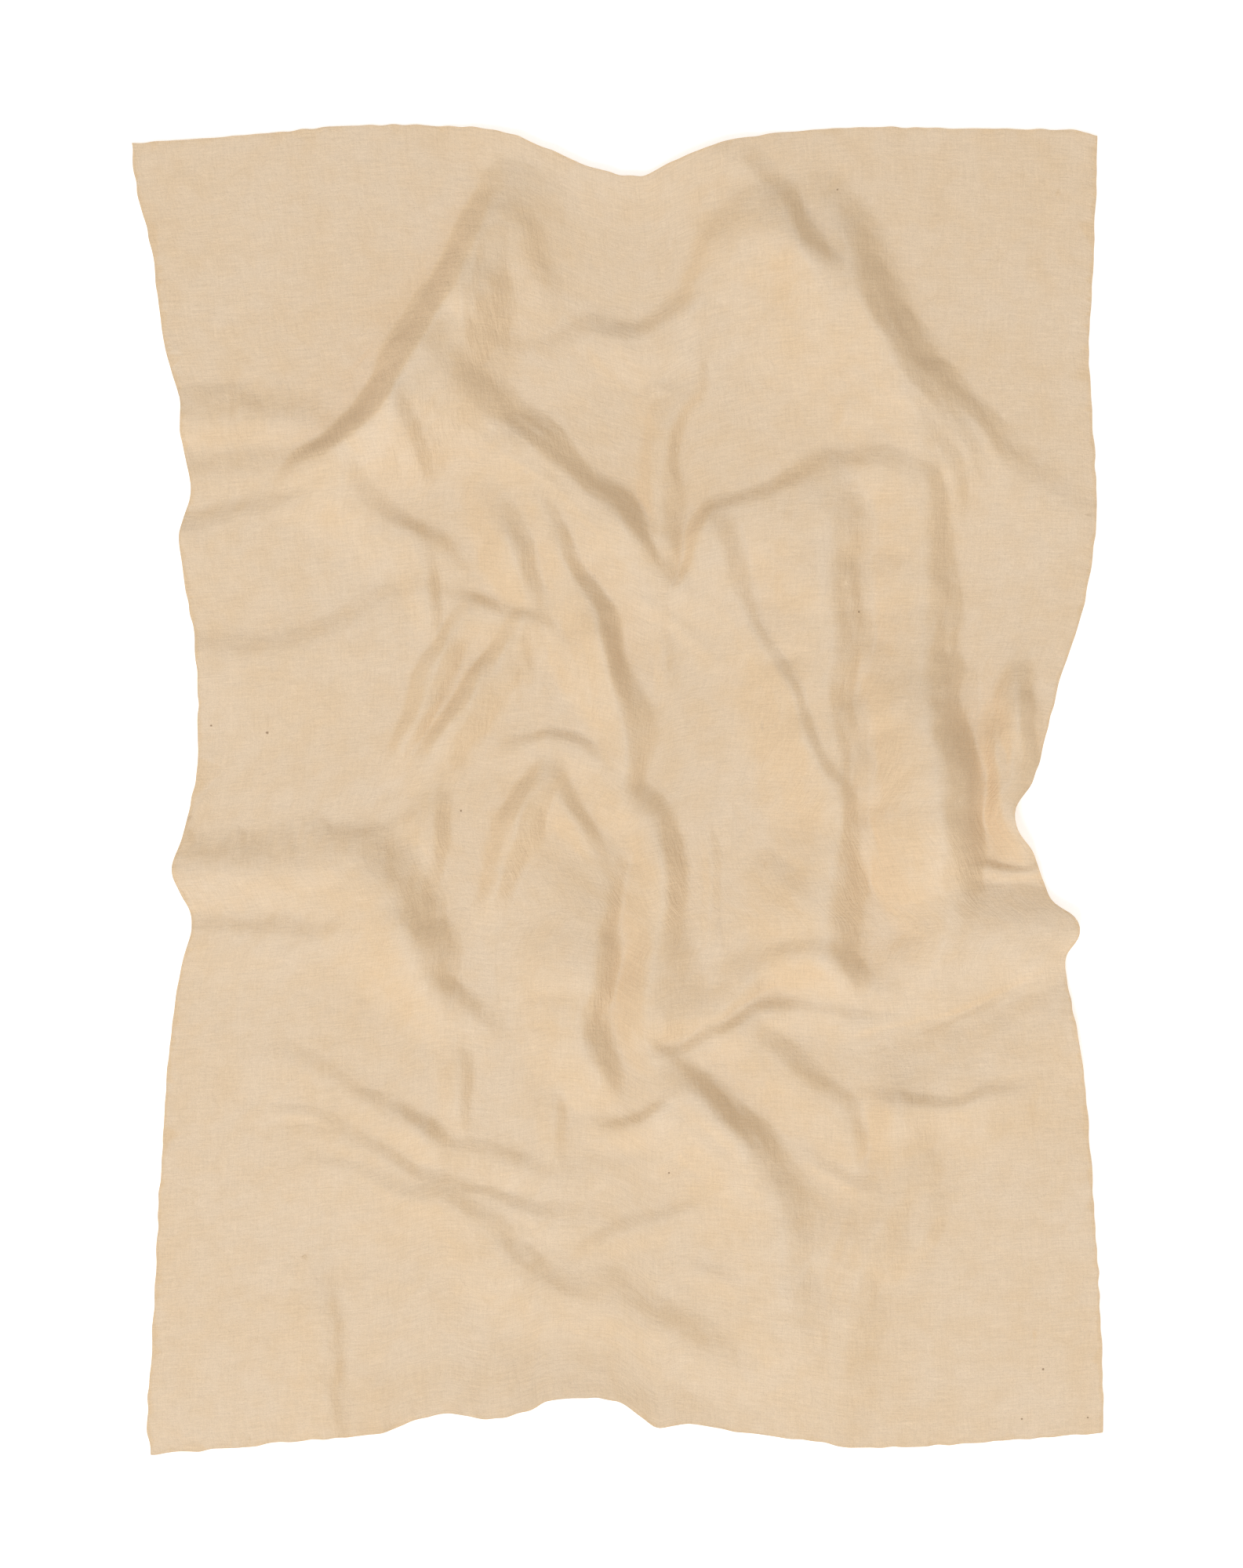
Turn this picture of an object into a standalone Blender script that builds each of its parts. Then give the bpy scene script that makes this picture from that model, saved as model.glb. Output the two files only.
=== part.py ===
"""A crumpled duvet cover for a single bed: two linen panels, one on the other, lying loose in their folds.

Metres, +Z up. X runs across the cover, Y from its foot end to its head end. The origin is on the surface that
the cover lies on, under the middle of its outline.
"""

from collections import namedtuple

import bmesh
import bpy
import numpy as np
from mathutils import Matrix

CM = 0.01  # the tables below are in centimetres

CLOTH_THICKNESS = 0.0012
PANEL_GAP = 0.0006
STEEPEST = 0.42  # the least upward share of a slope's direction that the thickness follows
GRID_CELL = 0.0095
KEPT_SHARE = 0.064  # of the fine grid's triangles, after Decimate
FINE_STEP = 0.7 * CM  # spacing of the points read along a crest or an edge
SMOOTHING = 0.5  # how far a smoothed vertex goes towards its neighbours' middle in one pass
SMOOTHING_PASSES = 4
UNFOLDING_PASSES = 12
RESTS_BELOW = 0.0006  # cloth lower than this lies on the surface
LEAST_UPWARD = 0.2  # the upward share of a face's direction under which it counts as folded over

LINEN = (0.720, 0.560, 0.395, 1.0)
LINEN_UNDERSIDE = (0.690, 0.535, 0.375, 1.0)
LINEN_ROUGHNESS = 0.9

# The laid outline, one side a row, as points from corner to corner.
Side = namedtuple("Side", "name points")
LEFT = Side("left", (
    (-65.6, -93.6), (-66.2, -89.0), (-65.7, -80.0), (-64.9, -66.0), (-64.2, -52.0), (-63.2, -38.0),
    (-61.6, -26.0), (-60.0, -19.5), (-60.5, -16.3), (-62.6, -11.6), (-61.3, -6.5), (-59.7, 0.0),
    (-59.0, 8.0), (-59.4, 20.0), (-61.2, 31.0), (-61.6, 36.5), (-60.0, 42.5), (-61.4, 49.0),
    (-61.5, 54.5), (-62.2, 57.0), (-64.2, 65.0), (-65.4, 75.0), (-67.7, 85.0), (-68.4, 91.2),
))
RIGHT = Side("right", (
    (68.4, -90.6), (68.4, -84.0), (67.9, -70.0), (67.3, -60.0), (66.0, -42.0), (64.9, -35.0),
    (63.4, -27.0), (63.3, -23.5), (65.0, -20.2), (64.3, -17.8), (61.2, -15.5), (59.7, -12.0),
    (58.5, -8.5), (56.3, -5.5), (56.0, -2.5), (58.8, 2.0), (61.0, 10.0), (62.2, 15.0),
    (65.4, 25.0), (67.3, 35.0), (67.3, 47.0), (66.5, 60.0), (66.9, 70.0), (67.5, 85.0), (67.6, 92.2),
))
FOOT = Side("foot", (
    (-65.6, -93.6), (-55.0, -92.8), (-44.0, -91.6), (-34.0, -90.7), (-29.0, -89.0), (-24.0, -87.8),
    (-17.5, -88.5), (-12.0, -87.1), (-9.0, -85.9), (-1.0, -85.8), (3.0, -88.0), (6.0, -89.8),
    (10.0, -89.3), (18.0, -90.6), (27.0, -91.6), (34.0, -92.6), (44.0, -92.4), (56.0, -91.6), (68.4, -90.6),
))
HEAD = Side("head", (
    (-68.4, 91.2), (-60.0, 91.7), (-46.0, 92.9), (-36.0, 93.7), (-24.0, 93.6), (-16.0, 92.7),
    (-10.0, 90.4), (-4.0, 87.9), (3.0, 86.4), (8.0, 88.6), (13.0, 90.6), (20.0, 92.2),
    (32.0, 93.4), (48.0, 93.2), (64.0, 93.0), (67.6, 92.2),
))

# The main folds. A fold is a ridge along a crest of (x, y, height) points. Its two flanks are named as they lie
# to someone walking along the crest: how wide each is, and its form, which is 1 where the flank is steepest at
# the crest, 0 where it is an even slope, and -1 where it is steepest at its foot.
Fold = namedtuple("Fold", "name left_width right_width left_form right_form crest")
FOLDS = (
    # The roof-shaped folds at the head end.
    Fold("left_arm", 14, 3.7, 0, 0.5, (
        (-18.5, 83, 0.2), (-20, 79, 1.6), (-24, 72.5, 2.6), (-28, 66.5, 3.0), (-31, 60.5, 3.6),
        (-33.5, 55, 4.4), (-37, 50.5, 3.8), (-41.5, 47.3, 2.2), (-46, 43.5, 0.3))),
    Fold("left_arm_brow", 2.8, 7, 0.2, 0, (
        (-20.5, 82.5, 0.3), (-16.8, 80.6, 1.2), (-13.8, 77, 1.4), (-11.8, 73, 1.2), (-10.8, 68, 0.3))),
    Fold("left_arm_east", 7, 3, 0, 0, (
        (-19.5, 79, 0.2), (-20.5, 72, 1.3), (-22.3, 66, 1.5), (-24.5, 60, 0.5))),
    Fold("right_arm_top", 2.7, 14, 0.6, 0, (
        (7, 89, 0.2), (13, 89.6, 1.0), (18.5, 88, 1.8), (22, 84.5, 2.2), (25.3, 80, 2.8),
        (28.3, 75.8, 2.2), (31.5, 72.5, 0.3))),
    Fold("right_arm", 4.2, 19, 0.3, 0, (
        (31.3, 83, 0.3), (32.6, 78, 2.0), (34.6, 71.8, 3.8), (37.5, 66.3, 4.4), (41.3, 61, 4.2),
        (45.8, 56.6, 3.6), (50.5, 52, 2.8), (55.5, 47, 2.0), (61, 41.5, 1.2), (68, 36.5, 0.5))),
    Fold("head_rim", 3.0, 11, 0.2, 0, (
        (-13, 62, 0.2), (-6, 62.8, 0.8), (-1.5, 64.2, 1.2), (3, 64, 1.0), (7.5, 65.3, 1.1),
        (10.8, 67.8, 0.9), (13, 72.5, 0.8), (16.5, 79, 0.4))),
    # The V below them, with its tongue.
    Fold("v_left", 3.8, 12, 0.4, 0, (
        (-27, 62.5, 0.2), (-23.5, 59, 1.8), (-18.5, 54.3, 2.8), (-13.2, 49.5, 3.0), (-8, 45.3, 2.9),
        (-3, 41.6, 3.0), (0.8, 37.8, 3.4), (4, 32.7, 2.8), (8.5, 28, 1.0), (12, 26, 0.2))),
    Fold("v_right", 2.6, 12, 0.3, 0, (
        (8.5, 28, 0.2), (11.3, 32, 1.4), (12.8, 37, 1.8), (15.5, 39.8, 1.7), (20, 41.6, 1.6),
        (26, 44.6, 1.6), (33, 46, 1.6), (38.5, 46, 1.4), (43, 42.5, 0.3))),
    Fold("v_tongue", 2.6, 3.2, 0.2, 0, (
        (9.8, 61, 0.1), (9.6, 56.5, 0.8), (7.4, 51.5, 1.2), (6.3, 46.5, 1.3), (6.9, 41, 1.6),
        (8.2, 35, 1.1), (8.8, 30, 0.2))),
    # The swells that run out to the left edge.
    Fold("left_swell_top", 6.0, 6.5, 0, 0, (
        (-66, 50.5, 1.3), (-58, 50.7, 1.4), (-51, 50, 1.2), (-46, 48.5, 0.6), (-43, 48, 0.1))),
    Fold("left_swell_middle", 3.4, 14, 0.2, 0, (
        (-66, 35.5, 1.6), (-60, 36, 1.7), (-53, 37.4, 1.5), (-47, 39, 1.1), (-41, 39.4, 0.7), (-36, 38.5, 0.1))),
    Fold("left_ridge", 6.5, 10, 0, 0, (
        (-68, -11, 1.8), (-55, -10.8, 1.9), (-44, -11, 2.0), (-37.5, -12, 2.4), (-33, -15.2, 2.9),
        (-29.8, -19.5, 3.1), (-27.5, -24.3, 2.9), (-24.5, -28.8, 1.8), (-21, -33, 0.3))),
    # The creased patch left of the middle.
    Fold("patch_top", 2.8, 8, 0.2, 0, (
        (-38.2, 45.5, 0.2), (-37, 42, 1.1), (-34.2, 38.8, 1.4), (-29.5, 36.4, 1.3), (-25.5, 34.2, 0.8),
        (-22.8, 31, 0.2))),
    Fold("patch_right", 2.8, 5, 0.2, 0, (
        (-17.5, 42, 0.2), (-16, 37.5, 1.7), (-14, 33, 2.1), (-12.2, 28.8, 1.9), (-10.3, 25, 1.1), (-8.8, 21, 0.2))),
    Fold("twin_left", 3.0, 3.0, 0, 0, (
        (-20.5, 24, 0.2), (-24, 17.5, 1.1), (-27, 12, 1.3), (-29.6, 6.5, 1.0), (-32.8, 1.5, 0.1))),
    Fold("twin_right", 6.0, 3.0, 0, 0, (
        (-13.5, 22.5, 0.2), (-17.5, 16.5, 1.1), (-20.8, 10.8, 1.3), (-24, 5.5, 1.0), (-28, 0, 0.1))),
    Fold("tent_left", 5, 4.0, 0, 0, (
        (-9.5, 5, 0.1), (-10.8, 0, 0.9), (-12.6, -6, 1.1), (-15.2, -13, 0.7), (-18, -18, 0.1))),
    Fold("tent_right", 2.2, 4, 0.2, 0, (
        (-8.8, 3, 0.1), (-7.3, -1.5, 0.9), (-5.1, -5, 1.1), (-3, -9, 0.2))),
    # The long winding ridge down the middle.
    Fold("winding_top", 2.5, 8, 0.4, 0, (
        (-12.5, 42, 0.2), (-9.8, 37.5, 1.6), (-7.4, 33, 2.1), (-4.6, 28.9, 2.6), (-2, 25, 3.2), (-1.1, 20.5, 3.5),
        (-0.2, 15.5, 3.0), (1.4, 11.5, 2.5), (4.4, 7, 2.3), (3.4, 3.8, 2.2), (1.3, 0.8, 2.0), (2, -4.5, 0.2))),
    Fold("winding_foot", 5.0, 4.8, 0.3, 0.1, (
        (-0.3, 2, 0.2), (1.3, -1.5, 1.6), (3.8, -5.5, 2.2), (5.4, -9.5, 2.5), (5.6, -14, 2.7),
        (4.9, -20, 2.9), (3.8, -26, 3.1), (3.1, -31, 2.8), (4, -35, 1.4), (5.5, -38.5, 0.2))),
    Fold("crescent", 4.6, 9, -0.6, 0, (
        (-2.5, -12, 0.1), (-4, -16.5, 0.8), (-5, -21, 1.8), (-5.6, -26, 2.1), (-6.2, -31, 2.1),
        (-6, -36, 1.7), (-3.4, -40.5, 0.8), (-1, -44, 0.1))),
    # The folds right of the middle.
    Fold("slanting_tuck", 2.3, 9, 0.4, 0, (
        (13.3, 36, 0.2), (14.5, 31.5, 1.2), (16.4, 26.5, 1.4), (19.6, 21, 1.6), (22.8, 16, 1.6),
        (25.2, 10.8, 1.6), (27, 6.2, 1.3), (29.6, 2.2, 1.1), (32.5, -2, 0.3))),
    Fold("trough_edge", 4.0, 13, 0, 0, (
        (29.5, 37, 0.2), (29.3, 29, 1.1), (29.6, 20, 1.3), (30.3, 11, 1.6), (31.2, 2, 2.2), (31.6, -5, 2.6),
        (30.4, -14, 2.6), (29.8, -20, 2.3), (32, -26.5, 0.6))),
    Fold("long_ridge", 4.6, 10.5, 0.3, -0.7, (
        (41.5, 50, 0.2), (42.3, 45, 1.8), (42.6, 38, 2.6), (43, 29, 3.2), (43.6, 20, 3.8), (44.2, 13, 4.8),
        (45.4, 7, 6.4), (46.6, 1, 7.0), (47.3, -5, 6.8), (48.3, -10, 5.2), (48.3, -15, 3.0), (46, -24, 0.5))),
    Fold("right_swell", 6, 3.6, 0, 0, (
        (55.5, 20, 0.1), (54.6, 12, 1.2), (53.8, 5, 2.4), (54.3, -2, 2.8), (56, -7, 1.8), (58.5, -11, 0.4))),
    Fold("edge_dent", 2.1, 3.5, 0.4, 0, (
        (57.3, 17, 0.1), (56.5, 12.5, 1.6), (56.8, 8.5, 1.8), (58, 4.5, 0.3))),
    Fold("pinch_top", 1.3, 1.5, 0.3, 0.3, (
        (63, -12.4, 1.3), (57, -12.6, 1.5), (52.5, -12.2, 1.3), (49.5, -11, 0.2))),
    Fold("pinch_foot", 1.6, 1.3, 0.3, 0.3, (
        (63, -15.4, 1.0), (56, -15.5, 1.3), (51.5, -15.7, 1.2), (48, -15, 0.2))),
    Fold("bulge", 9, 3.4, 0, 0, (
        (70, -19.4, 2.4), (62, -19, 2.5), (55, -19, 2.4), (49, -19.6, 2.1), (44, -22.5, 1.1), (40, -27, 0.1))),
    Fold("tuck_under_bulge", 11, 4.8, 0, -0.7, (
        (69, -27.8, 1.7), (62, -30, 1.8), (55, -32.8, 1.8), (48, -35.4, 1.7), (41, -37.4, 1.4), (34, -38.2, 0.4))),
    Fold("low_right_rib", 9, 2.8, 0, 0, (
        (58, -42.5, 0.1), (52, -45, 0.8), (46, -45.8, 1.0), (40, -45, 0.9), (35, -43.5, 0.1))),
    # The foot end.
    Fold("hook", 3.2, 4.2, 0.1, 0, (
        (3, -33.5, 0.2), (8, -32.5, 0.9), (13, -30, 1.4), (17, -27.3, 1.7), (21.5, -25.2, 1.8),
        (27, -24.4, 1.7), (31.5, -25.5, 1.4), (36, -28, 0.6), (41, -30, 0.1))),
    Fold("hook_inside", 2.3, 4, 0.3, 0, (
        (7, -36.8, 0.2), (12, -35.6, 1.0), (17, -33.6, 1.3), (21, -31.3, 1.4), (25, -29.8, 1.3),
        (31, -31.3, 0.9), (38, -32, 0.1))),
    Fold("foot_slant", 3.4, 12, 0.2, 0, (
        (1.5, -33, 0.2), (4.6, -36.8, 1.9), (8.4, -40.3, 2.8), (12.3, -43.8, 3.2), (16.3, -47.4, 3.3),
        (20, -51.4, 3.0), (22.4, -55.7, 2.0), (23.3, -61, 1.2), (23, -70, 0.8), (22, -80, 0.1))),
    Fold("foot_slant_right", 3.0, 7, 0, 0, (
        (18.5, -32.5, 0.2), (21.4, -36.8, 1.6), (25.2, -40.6, 2.1), (29.3, -43.7, 2.1), (32, -47.6, 1.8),
        (33, -52, 0.8), (33.5, -56, 0.1))),
    Fold("foot_swell", 6.5, 8, 0, 0, (
        (37, -40, 0.2), (38, -46, 1.6), (39, -52, 2.3), (39.4, -57.5, 2.6), (37.3, -62.8, 2.3), (35, -68, 2.1),
        (33.6, -76, 1.9), (32.6, -86, 1.5), (32, -98, 1.0))),
    Fold("foot_upper", 2.4, 5, 0.1, 0, (
        (-33, -43, 0.1), (-30, -46.5, 1.0), (-26.3, -49.8, 1.1), (-21, -51, 0.9), (-16.5, -52.6, 0.9),
        (-10, -54, 0.8), (-3, -53.6, 0.6), (4, -52.5, 0.1))),
    Fold("foot_middle", 2.4, 5, 0.1, 0, (
        (-47, -47.8, 0.1), (-39, -49, 0.6), (-33, -51.6, 0.8), (-27, -54.4, 0.8), (-20, -57, 0.8),
        (-12, -59.2, 0.7), (-5, -60, 0.1))),
    Fold("foot_lower", 2.7, 9, 0.1, 0, (
        (-46, -51.5, 0.1), (-38, -52.8, 0.6), (-31, -55.8, 0.9), (-25, -58.3, 1.1), (-19.5, -60.8, 1.2),
        (-16.7, -63.8, 1.4), (-14, -67.3, 1.3), (-9.5, -70.6, 0.8), (-3, -73, 0.1))),
    Fold("foot_last", 3.0, 8, 0.1, 0, (
        (-6, -66.5, 0.1), (-1, -70, 0.8), (4, -73.6, 1.1), (9, -76.4, 1.2), (14, -79.6, 0.9), (19, -83.5, 0.1))),
    # Where the outline is drawn in at the foot and the head, the hem lifts.
    Fold("foot_hem_lift", 13, 13, 0, 0, (
        (-32, -92, 0.5), (-20, -91, 1.2), (-8, -90, 1.5), (2, -91, 1.2), (8, -93, 0.3))),
    Fold("head_hem_lift", 14, 14, 0, 0, (
        (-14, 96, 1.0), (-4, 92, 1.5), (5, 91, 1.5), (13, 94, 1.2))),
)


def clear_scene():
    for obj in list(bpy.data.objects):
        bpy.data.objects.remove(obj, do_unlink=True)


def smooth_line(points):
    """A Catmull-Rom curve through points given in centimetres, as rows of metres a small step apart."""
    knots = np.array(points, float) * CM
    knots = np.vstack([2 * knots[0] - knots[1], knots, 2 * knots[-1] - knots[-2]])
    runs = []
    for before, start, end, after in zip(knots[:-3], knots[1:-2], knots[2:-1], knots[3:]):
        steps = max(2, int(np.hypot(*(end - start)[:2]) / FINE_STEP))
        t = np.arange(steps)[:, None] / steps
        linear = (end - before) * t
        square = (2 * before - 5 * start + 4 * end - after) * t**2
        cubic = (3 * start - before - 3 * end + after) * t**3
        runs.append(0.5 * (2 * start + linear + square + cubic))
    runs.append(knots[-2][None])
    return np.vstack(runs)


def laid_outline(u, v):
    """Where a point of the flat panel lies, for u and v from 0 to 1 across and along it (a Coons patch)."""
    left, right, foot, head = (smooth_line(side.points) for side in (LEFT, RIGHT, FOOT, HEAD))
    left_y = left[0, 1] + (left[-1, 1] - left[0, 1]) * v
    right_y = right[0, 1] + (right[-1, 1] - right[0, 1]) * v
    foot_x = foot[0, 0] + (foot[-1, 0] - foot[0, 0]) * u
    head_x = head[0, 0] + (head[-1, 0] - head[0, 0]) * u
    left_x = np.interp(left_y, left[:, 1], left[:, 0])
    right_x = np.interp(right_y, right[:, 1], right[:, 0])
    foot_y = np.interp(foot_x, foot[:, 0], foot[:, 1])
    head_y = np.interp(head_x, head[:, 0], head[:, 1])

    def patch(on_left, on_right, on_foot, on_head, axis):
        corners = (1 - u) * ((1 - v) * foot[0, axis] + v * head[0, axis])
        corners = corners + u * ((1 - v) * foot[-1, axis] + v * head[-1, axis])
        return (1 - u) * on_left + u * on_right + (1 - v) * on_foot + v * on_head - corners

    return patch(left_x, right_x, foot_x, head_x, 0), patch(left_y, right_y, foot_y, head_y, 1)


def flank(t, form):
    """A flank's height as a share of its crest's, for t from 0 at the crest to 1 at the foot."""
    t = np.clip(t, 0, 1)
    even = (1 - t) ** 2 * (1 + 2 * t)
    steep_crest = (1 - t) ** 2
    steep_foot = 1 - t**2
    return even + np.clip(form, 0, 1) * (steep_crest - even) + np.clip(-form, 0, 1) * (steep_foot - even)


def fold_height(fold, x, y):
    """The height that one fold alone gives the cloth over x and y: the highest of the cones round its crest."""
    crest = smooth_line(fold.crest)
    along = np.gradient(crest[:, :2], axis=0)
    along /= np.linalg.norm(along, axis=1)[:, None]
    left, right = fold.left_width * CM, fold.right_width * CM
    reach = max(left, right)
    low, high = crest[:, :2].min(axis=0) - reach, crest[:, :2].max(axis=0) + reach
    near = (x > low[0]) & (x < high[0]) & (y > low[1]) & (y < high[1])
    highest = np.zeros(int(near.sum()))
    for (crest_x, crest_y, height), (along_x, along_y) in zip(crest, along):
        off_x, off_y = x[near] - crest_x, y[near] - crest_y
        distance = np.hypot(off_x, off_y) + 1e-9
        leftness = 0.5 + 0.5 * (along_x * off_y - along_y * off_x) / distance
        width = right + (left - right) * leftness
        form = fold.right_form + (fold.left_form - fold.right_form) * leftness
        highest = np.maximum(highest, max(height, 0) * flank(distance / width, form))
    result = np.zeros_like(x)
    result[near] = highest
    return result


def folded_surface(bm):
    """Lays a flat grid out in the cover's outline and lifts it into the folds."""
    grid = np.array([vert.co for vert in bm.verts])
    x, y = laid_outline(grid[:, 0] + 0.5, grid[:, 1] + 0.5)
    z = sum(fold_height(fold, x, y) for fold in FOLDS)
    for vert, place in zip(bm.verts, zip(x, y, z)):
        vert.co = place
    for _ in range(SMOOTHING_PASSES):
        bmesh.ops.smooth_vert(bm, verts=bm.verts, factor=SMOOTHING, use_axis_z=True)


def base_mesh():
    """The underside of the lower panel: the folded surface with its flat parts in few faces."""
    width = RIGHT.points[0][0] * CM - LEFT.points[0][0] * CM
    length = HEAD.points[0][1] * CM - FOOT.points[0][1] * CM
    bm = bmesh.new()
    bmesh.ops.create_grid(
        bm, x_segments=round(width / GRID_CELL), y_segments=round(length / GRID_CELL), size=0.5
    )
    folded_surface(bm)
    fine = bpy.data.meshes.new("fine_grid")
    bm.to_mesh(fine)
    bm.clear()
    guide = bpy.data.objects.new("fine_grid", fine)
    bpy.context.scene.collection.objects.link(guide)
    thin = guide.modifiers.new("few_faces", "DECIMATE")
    thin.ratio = KEPT_SHARE
    graph = bpy.context.evaluated_depsgraph_get()
    base = bpy.data.meshes.new_from_object(guide.evaluated_get(graph))
    bpy.data.objects.remove(guide, do_unlink=True)
    bm.from_mesh(base)
    for _ in range(UNFOLDING_PASSES):
        bm.normal_update()
        folded_over = [
            vert for vert in bm.verts
            if not vert.is_boundary and any(face.normal.z < LEAST_UPWARD for face in vert.link_faces)
        ]
        bmesh.ops.smooth_vert(
            bm, verts=folded_over, factor=SMOOTHING, use_axis_x=True, use_axis_y=True, use_axis_z=True
        )
    for vert in bm.verts:
        if vert.co.z < RESTS_BELOW:
            vert.co.z = 0.0
    bm.to_mesh(base)
    bm.free()
    centre(base)
    return base


def centre(mesh):
    """Puts the middle of the mesh's outline over the origin."""
    places = np.array([vert.co for vert in mesh.vertices])
    middle = (places.min(axis=0) + places.max(axis=0)) / 2
    mesh.transform(Matrix.Translation((-middle[0], -middle[1], 0.0)))


def linen(name, colour):
    material = bpy.data.materials.new(name)
    material.use_nodes = True
    shader = material.node_tree.nodes["Principled BSDF"]
    shader.inputs["Base Color"].default_value = colour
    shader.inputs["Roughness"].default_value = LINEN_ROUGHNESS
    shader.inputs["Metallic"].default_value = 0.0
    return material


def panel(name, base, lift, material, collection):
    """One cut panel as a closed sheet, its underside `lift` off the base, square to the cloth on every slope."""
    bm = bmesh.new()
    bm.from_mesh(base)
    bm.normal_update()
    rise = {}
    for vert in bm.verts:
        stretch = 1.0 / max(vert.normal.z, STEEPEST)
        vert.co.z += lift * stretch
        rise[tuple(vert.co)] = CLOTH_THICKNESS * stretch
    extruded = bmesh.ops.extrude_face_region(bm, geom=bm.faces[:])["geom"]
    for vert in (item for item in extruded if isinstance(item, bmesh.types.BMVert)):
        vert.co.z += rise[tuple(vert.co)]
    bmesh.ops.recalc_face_normals(bm, faces=bm.faces[:])
    mesh = bpy.data.meshes.new(name)
    bm.to_mesh(mesh)
    bm.free()
    mesh.materials.append(material)
    mesh.shade_smooth()
    obj = bpy.data.objects.new(name, mesh)
    collection.objects.link(obj)
    return obj


def main():
    clear_scene()
    cover = bpy.data.collections.new("duvet_cover")
    bpy.context.scene.collection.children.link(cover)
    base = base_mesh()
    panel("back_panel", base, 0.0, linen("linen_underside", LINEN_UNDERSIDE), cover)
    panel("front_panel", base, CLOTH_THICKNESS + PANEL_GAP, linen("linen", LINEN), cover)


main()
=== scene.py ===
"""A crumpled single duvet cover in sand linen, lying loose under a camera straight above it.

The two sewn panels are laid out in the cover's outline and lifted into its folds: the same named folds as the
solids have, with the smaller creases between them, the wavering of loose linen, and the puckers of its seam.
Metres, +Z up; tables of folds and creases are in centimetres.
"""

import math
from collections import namedtuple

import bmesh
import bpy
import numpy as np
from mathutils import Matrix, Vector


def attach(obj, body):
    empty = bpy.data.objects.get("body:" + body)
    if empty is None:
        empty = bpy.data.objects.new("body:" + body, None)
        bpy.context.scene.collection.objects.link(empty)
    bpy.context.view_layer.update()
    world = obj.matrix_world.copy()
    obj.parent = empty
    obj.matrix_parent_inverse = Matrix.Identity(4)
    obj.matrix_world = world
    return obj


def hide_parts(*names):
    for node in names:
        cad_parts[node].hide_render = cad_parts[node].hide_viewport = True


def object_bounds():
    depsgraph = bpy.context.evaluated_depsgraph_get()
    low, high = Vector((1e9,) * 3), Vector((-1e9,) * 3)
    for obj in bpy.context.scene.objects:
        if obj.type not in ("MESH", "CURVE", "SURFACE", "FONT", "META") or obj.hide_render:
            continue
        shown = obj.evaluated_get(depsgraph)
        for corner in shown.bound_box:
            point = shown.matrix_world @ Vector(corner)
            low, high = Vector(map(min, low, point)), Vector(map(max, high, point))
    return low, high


bl_info = {
    "name": "Crumpled Duvet Cover",
    "version": (1, 0, 0),
    "blender": (4, 5, 0),
    "location": "3D View > Sidebar > Duvet Cover",
    "description": "Lays out a crumpled linen duvet cover, fold by fold, with its stage",
    "category": "Object",
}

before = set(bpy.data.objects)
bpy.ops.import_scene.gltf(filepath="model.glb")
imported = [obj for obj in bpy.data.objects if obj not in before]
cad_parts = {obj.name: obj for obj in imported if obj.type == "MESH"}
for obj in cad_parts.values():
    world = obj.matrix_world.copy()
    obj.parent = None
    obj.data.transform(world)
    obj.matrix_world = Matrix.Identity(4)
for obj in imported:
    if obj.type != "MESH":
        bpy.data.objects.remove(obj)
CAD_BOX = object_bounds()

CM = 0.01
FLAT_WIDTH = 1.40
FLAT_LENGTH = 2.00

# The photograph's frame, and the box that the cover fills in it, in its pixels.
PHOTO_WIDTH = 1585
PHOTO_HEIGHT = 2000
COVER_LEFT, COVER_RIGHT, COVER_TOP, COVER_FOOT = 168, 1406, 160, 1854

# The laid outline, one side a row, as points from corner to corner.
Side = namedtuple("Side", "name points")
LEFT = Side("left", (
    (-65.6, -93.6), (-66.2, -89), (-65.7, -80), (-64.9, -66), (-64.2, -52), (-63.2, -38), (-61.6, -26),
    (-60, -19.5), (-60.5, -16.3), (-62.6, -11.6), (-61.3, -6.5), (-59.7, 0), (-59, 8), (-59.4, 20),
    (-61.2, 31), (-61.6, 36.5), (-60, 42.5), (-61.4, 49), (-61.5, 54.5), (-62.2, 57), (-64.2, 65),
    (-65.4, 75), (-67.7, 85), (-68.4, 91.2),
))
RIGHT = Side("right", (
    (68.4, -90.6), (68.4, -84), (67.9, -70), (67.3, -60), (66, -42), (64.9, -35), (63.4, -27),
    (63.3, -23.5), (65, -20.2), (64.3, -17.8), (61.2, -15.5), (59.7, -12), (58.5, -8.5), (56.3, -5.5),
    (56, -2.5), (58.8, 2), (61, 10), (62.2, 15), (65.4, 25), (67.3, 35), (67.3, 47), (66.5, 60), (66.9, 70),
    (67.5, 85), (67.6, 92.2),
))
FOOT = Side("foot", (
    (-65.6, -93.6), (-55, -92.8), (-44, -91.6), (-34, -90.7), (-29, -89), (-24, -87.8), (-17.5, -88.5),
    (-12, -87.1), (-9, -85.9), (-1, -85.8), (3, -88), (6, -89.8), (10, -89.3), (18, -90.6), (27, -91.6),
    (34, -92.6), (44, -92.4), (56, -91.6), (68.4, -90.6),
))
HEAD = Side("head", (
    (-68.4, 91.2), (-60, 91.7), (-46, 92.9), (-36, 93.7), (-24, 93.6), (-16, 92.7), (-10, 90.4), (-4, 87.9),
    (3, 86.4), (8, 88.6), (13, 90.6), (20, 92.2), (32, 93.4), (48, 93.2), (64, 93), (67.6, 92.2),
))

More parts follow.
